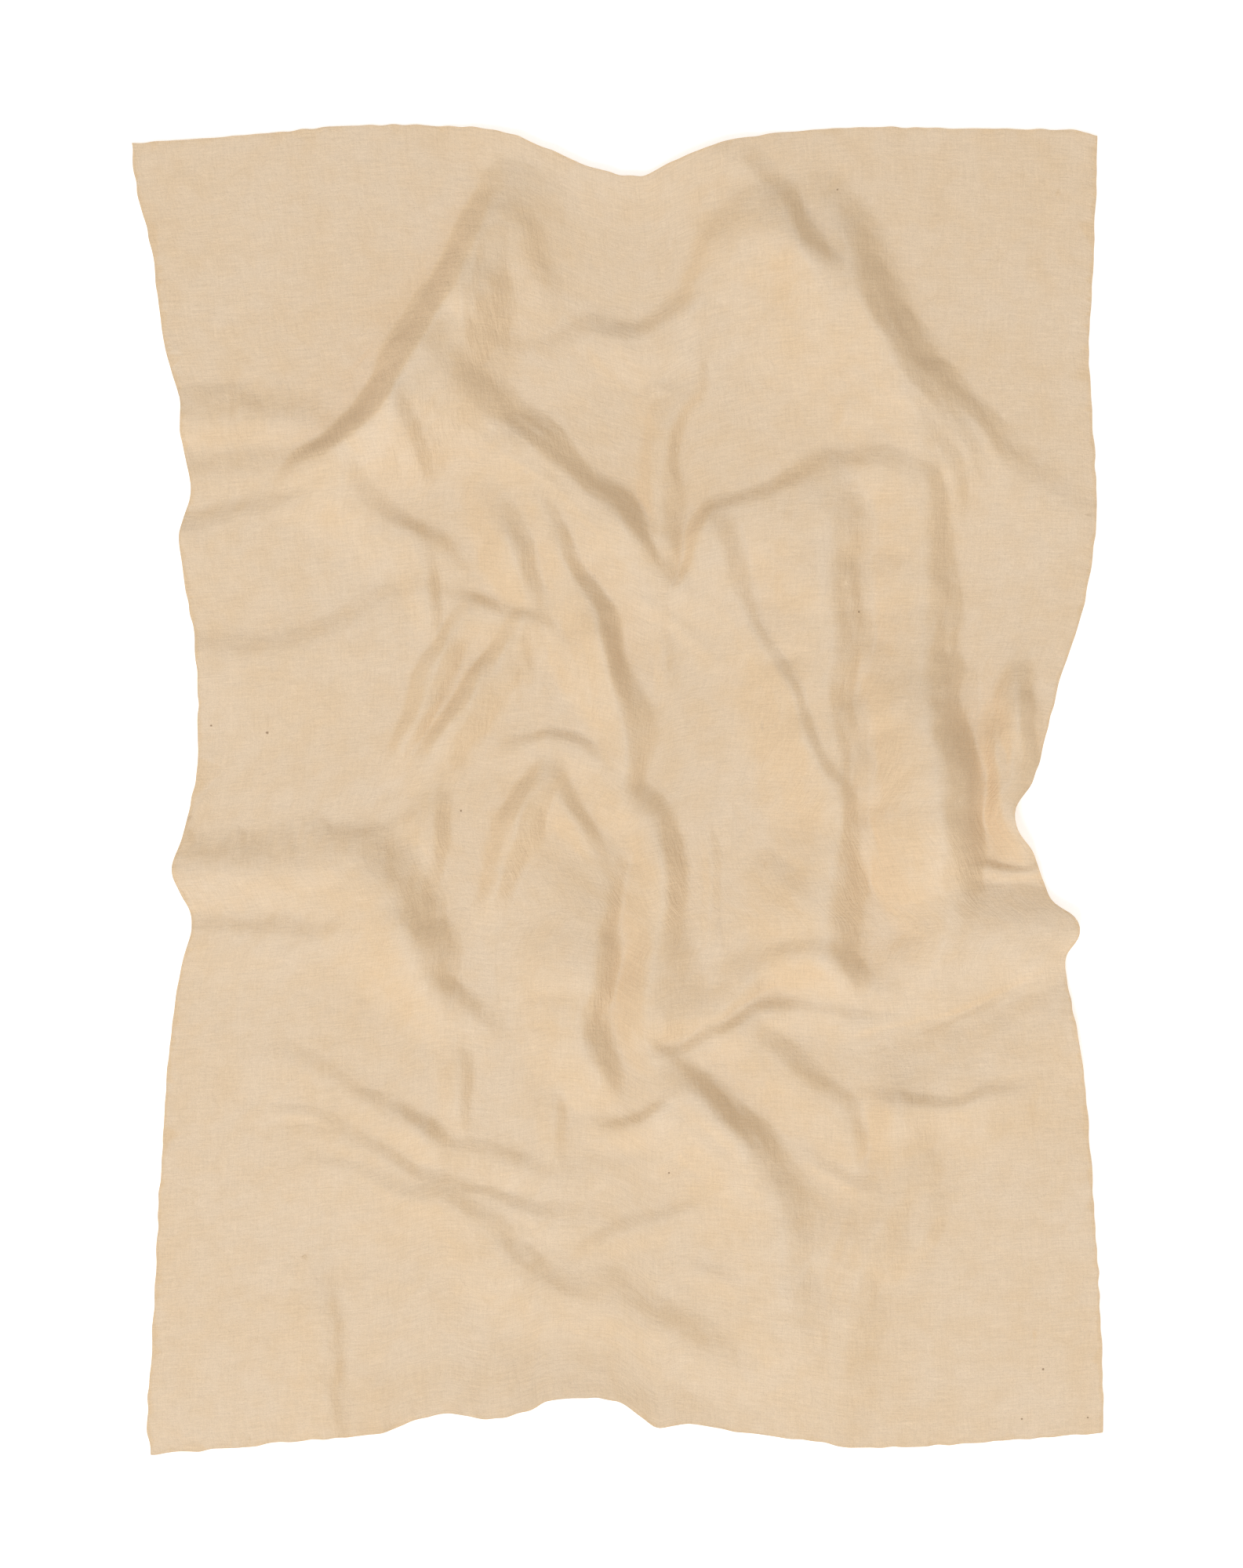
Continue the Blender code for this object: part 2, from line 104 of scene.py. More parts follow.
# A fold is a ridge along a crest. A point of the crest is its x, y and height, and how wide its two flanks
# are there, named as they lie to someone walking along the crest. A flank's form is 1 where it is steepest
# at the crest, 0 where it is an even slope, and -1 where it is steepest at its foot.
Fold = namedtuple("Fold", "name left_form right_form crest")
HEAD_FOLDS = (
    Fold("left_arm", 0.2, 0.1, (
        (-17.5, 84, 0.5, 8, 2.6), (-18.4, 80.1, 2.8, 14, 3.5), (-22.8, 70.7, 4.8, 14, 4.2),
        (-26.4, 64.6, 5.4, 14, 4.2), (-31, 56.2, 5.7, 14, 3.9), (-34.2, 51.8, 5.5, 13, 3.7),
        (-38.8, 48.3, 4, 12, 3.2), (-43, 45.5, 2.1, 10, 2.7), (-46, 43.2, 0.1, 8, 2))),
    Fold("left_arm_brow", 0, 0, (
        (-17, 82, 0.1, 3, 5), (-15.2, 79.6, 0.4, 3.4, 6), (-13, 76, 0.7, 3.6, 6),
        (-11.4, 72.5, 0.5, 3.6, 6), (-10.6, 68, 0.1, 3, 5))),
    Fold("left_arm_east", 0, 0, (
        (-19.5, 79, 0.1, 5, 3), (-19.8, 73, 0.8, 6, 4), (-20.6, 66, 1, 5.5, 4), (-22.6, 60, 0.3, 5, 3))),
    Fold("right_arm_top", 0, 0.3, (
        (7, 89, 0.1, 2, 10), (12.8, 89.6, 0.4, 2.2, 14), (17, 88.2, 0.6, 2.4, 14),
        (19.4, 86.4, 0.8, 2.4, 14), (21.6, 83, 1, 2.6, 14), (23.8, 79.6, 2.2, 3.8, 14),
        (26, 76, 2.6, 3.4, 13), (28.2, 73.4, 0.9, 2.6, 12), (30, 71, 0.1, 2, 10))),
    Fold("right_arm", 0.2, 0.4, (
        (31.2, 82.5, 0.2, 2, 8), (31.2, 79.6, 1.5, 4.2, 12), (31.8, 75.6, 3, 6.4, 16),
        (33.2, 71.2, 3.9, 7, 19), (36, 65.4, 4.2, 6.4, 19), (40, 59.8, 3.7, 5.6, 19),
        (44.2, 55.4, 2.9, 4.6, 18), (48.4, 51.6, 1.9, 4, 17), (53, 47.2, 1.2, 4.2, 16),
        (59.4, 42, 0.7, 4.8, 15), (67, 37.6, 0.3, 4.8, 14))),
    Fold("right_arm_under", 0.3, 0, (
        (36, 62, 0.1, 1.6, 4), (41, 57, 0.5, 1.8, 4), (45.5, 52.5, 0.5, 1.8, 4), (49, 47.5, 0.5, 2, 4),
        (50.5, 42, 0.1, 2, 4))),
    Fold("right_shoulder", 0.2, 0, (
        (38.5, 57.5, 0.1, 2, 5), (42, 52.5, 0.8, 2.4, 6), (44.8, 48.5, 1.1, 2.6, 6), (47, 43.5, 1, 2.6, 6),
        (47.5, 38, 0.2, 2, 5))),
    Fold("head_rim", 0.1, 0, (
        (-13, 61.5, 0.1, 2, 9), (-9, 62, 0.5, 2.8, 10), (-5.5, 62.8, 0.8, 3.4, 10), (-3, 64, 1.1, 3.2, 9),
        (-0.5, 63.3, 1.4, 3.4, 9), (3, 63.4, 1.2, 3.6, 10), (7.5, 65, 1.2, 4, 10), (11, 68, 1.1, 4.4, 10),
        (13, 72.5, 1.2, 5, 10), (15.5, 77.5, 1.2, 5, 9), (19, 82.5, 0.2, 4, 8))),
    Fold("v_left", 0.2, 0.2, (
        (-27.5, 62.3, 0.1, 4, 9), (-25.5, 59.2, 0.9, 4.8, 12), (-21.8, 55.4, 1.9, 5.4, 12),
        (-17.5, 51.8, 1.9, 5.4, 12), (-12.8, 48.2, 2.6, 5.8, 12), (-8.5, 44.8, 2.1, 4.6, 12),
        (-4, 41.2, 2, 4.4, 12), (0, 37.8, 3, 4.6, 12), (2.6, 34, 3, 5, 12), (5, 30.5, 2, 4.6, 12),
        (8.5, 27.6, 0.8, 3.5, 10), (12, 26, 0.1, 2, 8))),
    Fold("v_right", 0.1, 0, (
        (8.5, 27, 0.2, 1.8, 6), (10.4, 31, 1.4, 2.2, 8), (12, 36, 1.7, 2.6, 9), (14.5, 38.6, 1.3, 2.8, 11),
        (19.5, 40.3, 1.1, 3, 12), (25, 42.4, 1.2, 3.2, 12), (28.5, 43.7, 0.9, 2.8, 12),
        (33, 44.8, 1.2, 3.6, 12), (37.5, 44.9, 1.2, 3.8, 12), (41.5, 43.2, 0.9, 3.4, 10),
        (44, 40, 0.2, 2.5, 8))),
    Fold("v_tongue", 0, 0, (
        (6, 56.5, 0.1, 4, 2), (5.2, 53, 0.4, 5, 2.4), (5, 48, 0.6, 5, 2.4), (5.2, 44, 0.9, 4.8, 2.8),
        (6, 39.5, 1.3, 3.8, 2.8), (7.2, 35, 1.2, 2.8, 2.4), (8.2, 31.5, 0.2, 2, 2))),
    Fold("v_tongue_side", 0.2, 0, (
        (11.4, 61, 0.1, 1.6, 3), (10.6, 56.5, 0.6, 2, 4), (8.2, 52.6, 0.8, 2, 4), (7, 49, 0.8, 2, 4),
        (7.4, 44.6, 0.6, 1.9, 4), (8.8, 41, 0.2, 1.6, 3))),
    Fold("head_hem_lift", 0, 0, (
        (-14, 96, 1, 14, 14), (-4, 92, 1.5, 14, 14), (5, 91, 1.5, 14, 14), (13, 94, 1.2, 14, 14))),
)
LEFT_FOLDS = (
    Fold("left_swell_top", 0, 0, (
        (-66, 52.6, 1.1, 5, 4.5), (-58, 52.4, 1.1, 5.4, 4.5), (-51, 52.2, 1, 5, 4.5),
        (-46, 51.6, 0.6, 4.5, 4), (-42, 51, 0.1, 4, 3))),
    Fold("left_swell_second", 0, 0, (
        (-66, 43.8, 0.4, 4.6, 5), (-56, 44.2, 0.45, 4.6, 5), (-49, 45, 0.35, 4.2, 4), (-45, 46, 0.1, 3, 3))),
    Fold("left_swell_middle", 0.2, 0.2, (
        (-66, 35.6, 0.9, 3, 12), (-60, 36.3, 1, 3.2, 13), (-53, 38.2, 0.9, 2.6, 14),
        (-47, 39.6, 0.7, 2, 13), (-41.5, 40.2, 0.4, 1.6, 12), (-36, 39, 0.1, 1.5, 9))),
    Fold("left_swell_low", 0, 0, (
        (-64, 20, 0.4, 3.5, 12), (-52, 18.4, 0.65, 4, 13), (-44, 19.8, 0.75, 4, 13),
        (-36, 24, 0.7, 3.6, 12), (-30, 26.8, 0.4, 3, 10), (-26, 27.6, 0.1, 3, 8))),
    Fold("left_ridge", -0.2, 0, (
        (-68, -11.6, 1.4, 6.5, 6), (-55, -11.4, 1.4, 7, 6.5), (-44, -11.4, 1.5, 7, 7),
        (-38, -11.6, 1.9, 7.5, 10), (-33.4, -14, 2.8, 8, 11), (-31, -18, 3.3, 7, 11),
        (-29.4, -22, 3.3, 6.4, 10), (-26.8, -26.5, 2.4, 4.8, 9), (-23.8, -30.5, 1.3, 4, 8),
        (-18, -34.5, 0.2, 3, 6))),
    Fold("left_ripple", 0.4, 0, (
        (-64, -20, 0.5, 2.6, 8), (-53, -20, 0.55, 2.6, 8), (-46, -20.3, 0.6, 2.8, 8),
        (-40, -20.6, 0.4, 2.6, 7), (-37, -21.5, 0.1, 2, 6))),
    Fold("left_arc", 0.3, 0, (
        (-43, -4, 0.1, 1.4, 4), (-40.5, -6.6, 0.3, 1.6, 6), (-36, -6.8, 0.35, 1.8, 7),
        (-31.5, -5.4, 0.35, 1.8, 7), (-27, -3.5, 0.1, 1.6, 5))),
    Fold("patch_top", 0.1, 0, (
        (-38.8, 46.3, 0.2, 2, 6), (-37.2, 42.2, 0.9, 3.2, 8), (-34.6, 39, 1.1, 3.4, 8),
        (-30.2, 36.2, 1, 3.4, 8), (-26, 34.2, 0.7, 3, 7), (-22.8, 31, 0.2, 2, 5))),
    Fold("patch_lead", 0, 0, (
        (-32, 57, 0.1, 2.5, 4), (-30.8, 52.5, 0.8, 3, 4), (-28.8, 47.5, 0.8, 2.4, 4),
        (-27, 42.5, 0.1, 2, 3))),
    Fold("patch_middle", 0.3, 0, (
        (-27.2, 35, 0.1, 1.6, 4), (-27, 30, 0.8, 2, 4), (-26.6, 26, 0.8, 2, 4), (-26, 22, 0.1, 1.6, 3))),
    Fold("patch_right", 0.2, 0, (
        (-18.4, 42.5, 0.1, 2, 4), (-16.8, 38.4, 1.3, 3.2, 5), (-15.2, 34.6, 2.1, 3.3, 5),
        (-13.8, 31, 2, 3.3, 5), (-12.4, 27.5, 1.3, 3.2, 5), (-10.6, 24, 0.4, 2.4, 4), (-9, 21, 0.1, 2, 3))),
    Fold("patch_foot", 0.2, 0, (
        (-24, 27.2, 0.1, 1.8, 5), (-20, 26, 0.7, 2.2, 6), (-15.4, 24.2, 0.9, 2.2, 6),
        (-11.4, 23.2, 0.8, 2.2, 6), (-7, 20.4, 0.2, 2, 5))),
    Fold("twin_left", 0, 0, (
        (-20.8, 26, 0.2, 3, 2.4), (-23.8, 20.5, 1.2, 3.6, 2.6), (-26.6, 14.5, 1.5, 3.6, 2.8),
        (-29.2, 8, 1.2, 3.4, 2.6), (-32.4, 2, 0.1, 3, 2))),
    Fold("twin_right", 0, 0, (
        (-12.8, 24, 0.2, 5, 2.4), (-16.4, 18.6, 1.4, 5.6, 2.8), (-20.6, 12.6, 1.8, 5.8, 2.9),
        (-25, 6.4, 1.5, 5.2, 2.7), (-29, 0.6, 0.1, 4, 2))),
)
MIDDLE_FOLDS = (
    Fold("tent_brow", 0.3, 0, (
        (-17, 5.4, 0.1, 1.5, 4), (-13, 6.2, 0.6, 1.8, 5), (-9, 7.1, 0.8, 1.8, 5), (-5.6, 5.6, 0.8, 1.9, 5),
        (-3, 3, 0.2, 1.6, 4))),
    Fold("tent_left", 0.2, 0, (
        (-8.6, 6, 0.1, 3, 2.6), (-10.4, 2, 1.2, 3.8, 3), (-13.2, -3, 2, 4.6, 3.6),
        (-15.4, -8.5, 1.6, 4.6, 3.4), (-17, -13.5, 1.2, 4.2, 3), (-19.4, -19, 0.1, 4, 2.4))),
    Fold("tent_right", 0.2, 0, (
        (-9, 3.4, 0.1, 1.8, 3), (-8, -0.6, 0.9, 2.2, 4), (-5.6, -4.6, 1.1, 2.4, 4), (-3.6, -8.4, 0.4, 2, 4),
        (-2.6, -11.5, 0.1, 1.6, 3))),
    Fold("tent_far_left", 0.1, 0, (
        (-25.6, 2, 0.1, 2, 4), (-25.8, -3, 1.1, 2.6, 6), (-26, -8, 1.3, 2.8, 6), (-26.6, -13, 0.3, 2.5, 5))),
    Fold("winding_top", 0.3, 0.3, (
        (-12.5, 42, 0.1, 1.8, 6), (-10, 37.5, 1.1, 2.4, 8), (-8.2, 34, 1.6, 2.7, 8),
        (-6.2, 29.8, 1.8, 3, 8), (-3.9, 25.8, 2.6, 3.3, 8), (-2.2, 21.5, 3.7, 3.3, 8),
        (-1.4, 17, 2.9, 3.4, 7), (-0.2, 12.8, 2.2, 4.2, 7), (1.2, 9, 1.9, 5, 7), (1.6, 5.5, 1.8, 4.2, 7),
        (1.2, 2, 1.5, 3.4, 6), (0.6, -2, 0.6, 3, 5), (1, -4, 0.1, 2, 4))),
    Fold("winding_foot", 0, 0.2, (
        (-1.5, 1.5, 0.2, 3, 4), (1, -1.8, 1.1, 4.2, 5), (4.2, -4.6, 1.7, 4.2, 5), (5.4, -7.5, 2, 4.2, 5.2),
        (6, -11, 2.3, 3.9, 5.5), (6.2, -15, 2.1, 3.7, 6), (5.6, -19.5, 1.7, 4.4, 6), (5, -25, 2.2, 8, 5.6),
        (4, -30, 2.2, 8, 4.8), (4, -35, 1.2, 4, 4), (5.5, -38.5, 0.2, 3, 3))),
    Fold("crescent", 0.1, 0, (
        (0.6, -8, 0.1, 1.6, 6), (-1.4, -14, 1.1, 2.2, 12), (-2.8, -20, 2.3, 2.7, 14),
        (-3.2, -25, 2.8, 3, 14), (-4, -28.6, 2.7, 3.6, 12), (-5, -32, 2.4, 4.6, 11),
        (-4.6, -36, 2.2, 4.6, 10), (-2.5, -39.8, 1.9, 2.8, 7), (-0.4, -43.6, 0.1, 2, 4))),
    Fold("slanting_tuck", 0, 0.4, (
        (14.4, 37, 0.1, 3, 6), (15.2, 33, 0.9, 3.6, 8), (16, 29, 1, 3.4, 9), (18.2, 23.5, 1.1, 2.8, 9),
        (21, 18.4, 1.2, 2.6, 9), (24, 14, 1.2, 2.4, 9), (25.3, 10, 1.1, 2.4, 9), (26.3, 6, 1.2, 2.4, 9),
        (28.2, 2.6, 1, 2.4, 8), (31.5, -1.2, 0.3, 2, 6))),
)
RIGHT_FOLDS = (
    Fold("trough_edge", 0, 0, (
        (29.5, 46, 0.2, 5, 10), (30.4, 38, 2.3, 5.8, 12), (29.4, 30, 3.3, 6.2, 13),
        (30.3, 22, 3.4, 5.8, 13), (29.6, 15, 3.5, 6.2, 13), (30.3, 8, 3.5, 5.8, 13),
        (31.2, 1, 3.7, 5.6, 13), (31.4, -5, 3.8, 5.6, 12), (30.4, -10, 3.7, 6.2, 12),
        (29.4, -15, 3.6, 6.6, 12), (29.2, -19.5, 3.4, 6.4, 11), (30.4, -23.5, 2.8, 5.2, 10),
        (32.8, -28, 0.4, 3, 6))),
    Fold("long_ridge", -0.3, -0.5, (
        (41.5, 50, 0.2, 3, 6), (42.4, 45, 1.3, 3.4, 9), (43, 38, 2.3, 4, 10.5), (43, 29, 2.4, 4.8, 10.5),
        (42.9, 20, 2.9, 5.8, 10.5), (43.2, 13, 4.4, 6.2, 10.5), (43.8, 7, 5.9, 6.7, 11),
        (44.8, 1, 6.4, 6.8, 11.5), (45.2, -4, 6.3, 6.8, 11.5), (46.2, -8, 5.2, 6.4, 11),
        (46.8, -13, 3, 5.2, 9), (46, -20, 1.4, 4, 8), (45, -26, 0.2, 3, 6))),
    Fold("right_swell", 0, 0, (
        (55.5, 20, 0.1, 5, 3.4), (55.2, 12, 1.1, 5, 4.2), (55.2, 5, 2, 5, 4.8), (55.6, -2, 2.3, 5, 4.8),
        (57, -6.5, 1.9, 5, 4.6), (58.8, -10.5, 0.4, 4, 4))),
    Fold("right_swell_rib", 0.2, 0.2, (
        (53.6, 9, 0.1, 1.2, 1.4), (53.4, 4, 0.6, 1.2, 1.4), (53.8, -1, 0.6, 1.2, 1.4),
        (54.6, -6, 0.1, 1.2, 1.4))),
    Fold("edge_dent", 0.4, 0, (
        (57.3, 17, 0.1, 2, 3), (56.5, 12.5, 1.6, 2.1, 3.5), (56.8, 8.5, 1.8, 2.1, 3.5),
        (58, 4.5, 0.3, 2, 3))),
    Fold("pinch_top", 0.2, 0.3, (
        (63, -11.2, 0.6, 1.6, 1.5), (57.5, -11.8, 0.9, 1.6, 1.6), (52.5, -11.4, 0.9, 1.8, 1.6),
        (49, -10.8, 0.2, 1.4, 1.4))),
    Fold("bulge", -0.8, 0, (
        (70, -19.6, 1.8, 5.2, 7.4), (64, -19.6, 2, 5.6, 8), (58, -19.8, 2.1, 9.4, 8.6),
        (52, -20.2, 1.9, 11, 8.6), (47, -21.6, 1.5, 11, 7.4), (42, -25, 1, 8.6, 6), (38, -29, 0.5, 5.4, 4),
        (34, -32.5, 0.1, 2.6, 2))),
    Fold("tuck_under_bulge", 0, -1, (
        (70, -31.5, 0.8, 10, 7), (64, -34.2, 0.9, 10, 7.4), (58, -37.2, 0.9, 9, 7.8), (52, -40, 0.9, 8, 8),
        (46, -42, 0.9, 7, 7.8), (40, -43.4, 0.8, 6, 7.4), (34.5, -44, 0.2, 4, 7))),
    Fold("low_right_rib", 0, 0.3, (
        (58, -41.6, 0.1, 8, 1.8), (53, -43.2, 0.8, 9, 1.9), (48, -44.8, 1, 9, 2), (43, -44.8, 1, 9, 2),
        (39, -44, 0.8, 8, 1.9), (35.5, -43, 0.1, 6, 1.6))),
)
FOOT_FOLDS = (
    Fold("hook", 0, 0.3, (
        (3, -33.5, 0.2, 3, 3), (9, -32.6, 0.6, 4, 2.6), (13.6, -31.8, 0.9, 4.4, 2.4),
        (17, -29.1, 1, 4.6, 2.4), (19.7, -26.6, 1.1, 4.6, 2.8), (23, -24.9, 1.1, 4.4, 4),
        (27.1, -24.2, 1.1, 4.2, 4.4), (30.5, -25.2, 0.9, 3.8, 4), (33.6, -27.4, 0.5, 3, 4),
        (40, -30, 0.1, 3, 3))),
    Fold("hook_inside", 0.3, 0, (
        (6, -37.5, 0.1, 1.5, 4), (10, -36.9, 0.6, 1.8, 4), (14.3, -34.6, 1, 1.9, 4),
        (17.5, -33, 1.1, 1.9, 4), (20.5, -31.3, 1.1, 2.1, 4), (25.5, -31, 0.7, 2.3, 4),
        (30.5, -31.8, 0.6, 2.4, 4), (35, -32.8, 0.3, 2.2, 4), (40, -33, 0.1, 2, 3))),
    Fold("foot_slant", 0, 0.2, (
        (3, -36, 0.1, 2, 8), (6.2, -38.6, 0.6, 2.8, 10), (9.6, -42.2, 2.1, 4.2, 12),
        (13.8, -46.5, 2.9, 4.9, 12), (17.4, -50.3, 2.7, 5, 12), (20.2, -54.4, 1.6, 5, 12),
        (22, -58.5, 0.9, 6, 11), (22.6, -66, 0.7, 7, 10), (22.4, -74, 0.5, 8, 9), (22, -82, 0.1, 7, 8))),
    Fold("foot_slant_right", -0.1, 0, (
        (17.5, -33, 0.1, 2, 6), (20.8, -36.6, 1.1, 3.7, 7), (24.2, -40, 1.3, 3.9, 7),
        (28, -43, 1.1, 3.4, 7), (31.5, -45.6, 0.9, 3, 6), (33, -49.5, 0.8, 3, 5),
        (33.6, -53.5, 0.1, 2.4, 4))),
    Fold("foot_grey", -0.3, 0, (
        (21.5, -55, 0.1, 6, 9), (23, -60, 0.9, 8, 10), (24, -66, 1.1, 8, 11), (24.4, -72, 1.1, 7.6, 11),
        (24.6, -78, 0.8, 7, 10), (24.4, -85, 0.1, 6, 9))),
    Fold("foot_swell", 0, 0.1, (
        (38, -41, 0.2, 4, 5), (38.6, -46, 0.9, 7, 3.6), (39, -51, 1.2, 8, 4), (38.8, -56.5, 1.4, 6, 6),
        (37, -61, 1.6, 6, 7), (34.2, -66.5, 1.6, 6.5, 8), (32.6, -72, 1.3, 6, 7), (31.4, -78, 1.1, 6, 7),
        (30.6, -86, 0.8, 6, 8), (30, -98, 0.5, 6, 8))),
    Fold("foot_swell_spot", 0.2, 0, (
        (46.6, -56.5, 0.1, 2, 4), (44.8, -60, 0.5, 2.6, 5), (42.6, -64, 0.7, 2.6, 5),
        (39.6, -67.5, 0.1, 2, 4))),
    Fold("foot_lead", 0, 0, (
        (-54, -36, 0.1, 3, 7), (-46, -38.6, 0.3, 3, 8), (-40, -41, 0.4, 2.8, 8), (-36.5, -42.8, 0.1, 2, 6))),
    Fold("foot_upper", 0.1, 0.1, (
        (-36.5, -43.2, 0.1, 2, 5), (-34.8, -44.4, 0.7, 2.8, 5), (-32.6, -45.4, 0.2, 2, 5),
        (-30.2, -46.8, 1.1, 2.9, 5), (-26.8, -49.4, 1.2, 3, 5), (-23.5, -50.8, 0.4, 2, 5),
        (-18.5, -51.4, 0.5, 2.6, 5), (-13.5, -53.6, 0.55, 2.8, 5), (-8, -54.8, 0.35, 2.6, 5),
        (-2, -53.8, 0.25, 2.4, 5), (3, -52.5, 0.1, 2, 4))),
    Fold("foot_middle", 0.1, 0, (
        (-47, -48.8, 0.1, 1.8, 4), (-40, -48.6, 0.4, 2, 5), (-34, -51.4, 0.6, 2.1, 5),
        (-29.4, -54.3, 0.75, 2.2, 5), (-24.5, -56.2, 0.6, 2.4, 5), (-18.8, -57.7, 0.6, 2.4, 5),
        (-11.3, -60.2, 0.6, 2.4, 5), (-4, -60.5, 0.1, 2, 4))),
    Fold("foot_lower", 0.1, 0.1, (
        (-47, -51.5, 0.1, 2, 8), (-38, -54, 0.5, 2.4, 9), (-31, -57, 0.7, 2.6, 9), (-26, -58, 0.7, 2.6, 9),
        (-21, -60.6, 0.9, 2.9, 9), (-17.8, -62.8, 1, 3.4, 9), (-15.5, -66, 1.2, 4.4, 9),
        (-11.5, -69.4, 1, 4.6, 9), (-7, -71.6, 0.6, 3.8, 8), (-2, -73, 0.1, 3, 6))),
    Fold("foot_last", 0, 0, (
        (-6, -68, 0.1, 3, 7), (-1.5, -70.5, 0.7, 3.6, 8), (3, -74, 0.9, 4.2, 8), (8, -77, 0.9, 4.4, 8),
        (13, -79.6, 0.7, 4.2, 8), (19, -82.5, 0.1, 3, 6))),
    Fold("foot_left_rib", 0.1, 0, (
        (-41.6, -68, 0.1, 2.4, 6), (-41, -74, 0.7, 2.8, 7), (-40.6, -82, 0.8, 3, 7),
        (-40.4, -90, 0.7, 3, 7), (-40.5, -97, 0.4, 3, 6))),
    Fold("drop_left", 0, 0, (
        (-22.6, -36, 0.1, 2, 4), (-22.4, -39.5, 0.8, 2.4, 4), (-22.2, -44, 0.8, 2.4, 4),
        (-22.4, -48, 0.1, 2, 3))),
    Fold("drop_right", 0, 0, (
        (-8.8, -42, 0.1, 1.6, 3), (-8.8, -45.5, 0.6, 1.8, 3), (-8.6, -50, 0.4, 1.8, 3),
        (-8.2, -53, 0.1, 1.6, 3))),
    Fold("small_hook", 0.2, 0, (
        (-4, -46.9, 0.1, 1.6, 3), (0.3, -47.9, 0.8, 1.8, 4), (4, -46.6, 0.9, 1.8, 4),
        (7.2, -43.8, 0.3, 1.8, 4), (9, -42.5, 0.1, 1.5, 3))),
    Fold("foot_arc", 0.1, 0, (
        (-5, -65, 0.1, 1.6, 4), (-3, -63.8, 0.4, 1.9, 4), (1, -62.2, 0.55, 2.1, 4),
        (6, -60.6, 0.45, 2.1, 4), (11, -59.2, 0.3, 1.8, 4), (14.5, -58.2, 0.1, 1.6, 3))),
    Fold("foot_short", 0, 0, (
        (9, -66.8, 0.1, 1.6, 3), (13.5, -68.8, 0.3, 1.8, 3), (18, -70.4, 0.1, 1.6, 3))),
    Fold("foot_hem_lift", 0, 0, (
        (-32, -92, 0.5, 13, 13), (-20, -91, 1.2, 13, 13), (-8, -90, 1.5, 13, 13), (2, -91, 1.2, 13, 13),
        (8, -93, 0.3, 13, 13))),
)
FOLDS = HEAD_FOLDS + LEFT_FOLDS + MIDDLE_FOLDS + RIGHT_FOLDS + FOOT_FOLDS

# Small creases: a soft ridge (height over 0) or trough (under 0) of one width along its points.
Crease = namedtuple("Crease", "name width height points")
CREASES = (
    Crease("winding_branch", 1.6, 0.35, ((6, 24), (6.4, 18), (6.6, 13))),
    Crease("middle_arc", 1.6, 0.32, ((1.5, 28), (6, 25), (9.5, 22), (14, 18))),
    Crease("middle_drop", 1.5, 0.35, ((12.4, -5), (13.4, -12), (12.6, -22))),
    Crease("ridge_side", 1.4, 0.4, ((50, 17), (49.8, 14), (49.5, 11))),
    Crease("arm_side", 1.2, 0.3, ((32.5, 55.5), (31.8, 53), (30.5, 50.5))),
    Crease("foot_right_rib", 1.6, 0.35, ((26, -51), (30, -54), (38, -58))),
    Crease("edge_rib_outer", 0.8, -0.16, ((64, -37), (64, -43))),
    Crease("edge_rib_inner", 0.8, -0.18, ((59, -42), (59, -47))),
    Crease("left_drop", 1.4, -0.2, ((-61, -50.5), (-61, -58.5))),
    Crease("left_foot_arc", 1.5, 0.3, ((-52, -46), (-46, -45.6), (-41, -46.5), (-35, -49))),
    Crease("slant_parallel", 1.5, -0.25, ((2, -43.2), (8, -44.8), (13, -48.4), (17, -53), (19.4, -59))),
    Crease("slant_far_parallel", 1.2, -0.14, ((0, -50.5), (6, -51), (11, -54), (15, -58))),
    Crease("pressed_line", 0.5, -0.10, ((20.2, -31), (20.6, -38), (20.8, -47))),
    Crease("hook_line", 0.9, -0.22, ((20.5, -29.4), (22.5, -28), (25.2, -26.4))),
    Crease("tongue_arc", 1, 0.20, ((2.6, 51), (3.4, 54.6), (6.4, 56.4), (9.6, 54.6))),
    Crease("tent_drop", 0.8, -0.18, ((-9.8, -2.5), (-10.2, -9))),
    Crease("foot_rib_branch", 1, 0.20, ((-39, -71), (-36.5, -69.6), (-34, -68))),
    Crease("foot_small_a", 1.3, 0.18, ((-33, -73), (-33, -80))),
    Crease("foot_small_b", 1.4, 0.22, ((-33.2, -84), (-33.4, -92))),
    Crease("foot_small_c", 1.2, 0.18, ((-13, -79), (-11.5, -75.5), (-8, -74))),
    Crease("arm_east_a", 0.9, 0.25, ((-21.5, 74), (-21.8, 68), (-21.2, 62))),
    Crease("arm_east_b", 0.9, 0.22, ((-16.4, 77), (-17, 70), (-17.2, 64))),
    Crease("right_seam_high", 0.6, -0.14, ((65.4, 64), (65.9, 60), (65.5, 56), (65.8, 52.5))),
    Crease("right_seam_low", 0.6, -0.14, ((65.6, 50.5), (66.2, 46), (66, 41.5))),
    Crease("v_notch", 0.8, -0.16, ((24, 46.2), (25.6, 44.6), (27.2, 43))),
    Crease("arm_edge_line", 0.7, 0.16, ((33.4, 69), (36.6, 63.2), (40.4, 58.2), (44.8, 54))),
    Crease("v_parallel", 0.9, 0.16, ((-22, 52), (-16, 47.4), (-10, 43.4), (-4.6, 38.6), (-1, 34))),
    Crease("tuck_parallel", 0.8, 0.16, ((14.8, 27), (17.4, 21), (21.2, 14.5), (23.6, 8))),
    Crease("bulge_line", 0.9, -0.46, (
        (32, -35.4), (38, -34.4), (45, -32.8), (51, -30.6), (57, -27.6), (63, -24))),
    Crease("edge_arc", 0.9, -0.16, ((60, 60.5), (63.5, 59), (66.5, 56.5))),
    Crease("left_swell_step", 0.8, -0.14, ((-61, 57.2), (-52, 57.6), (-44, 58.2))),
)

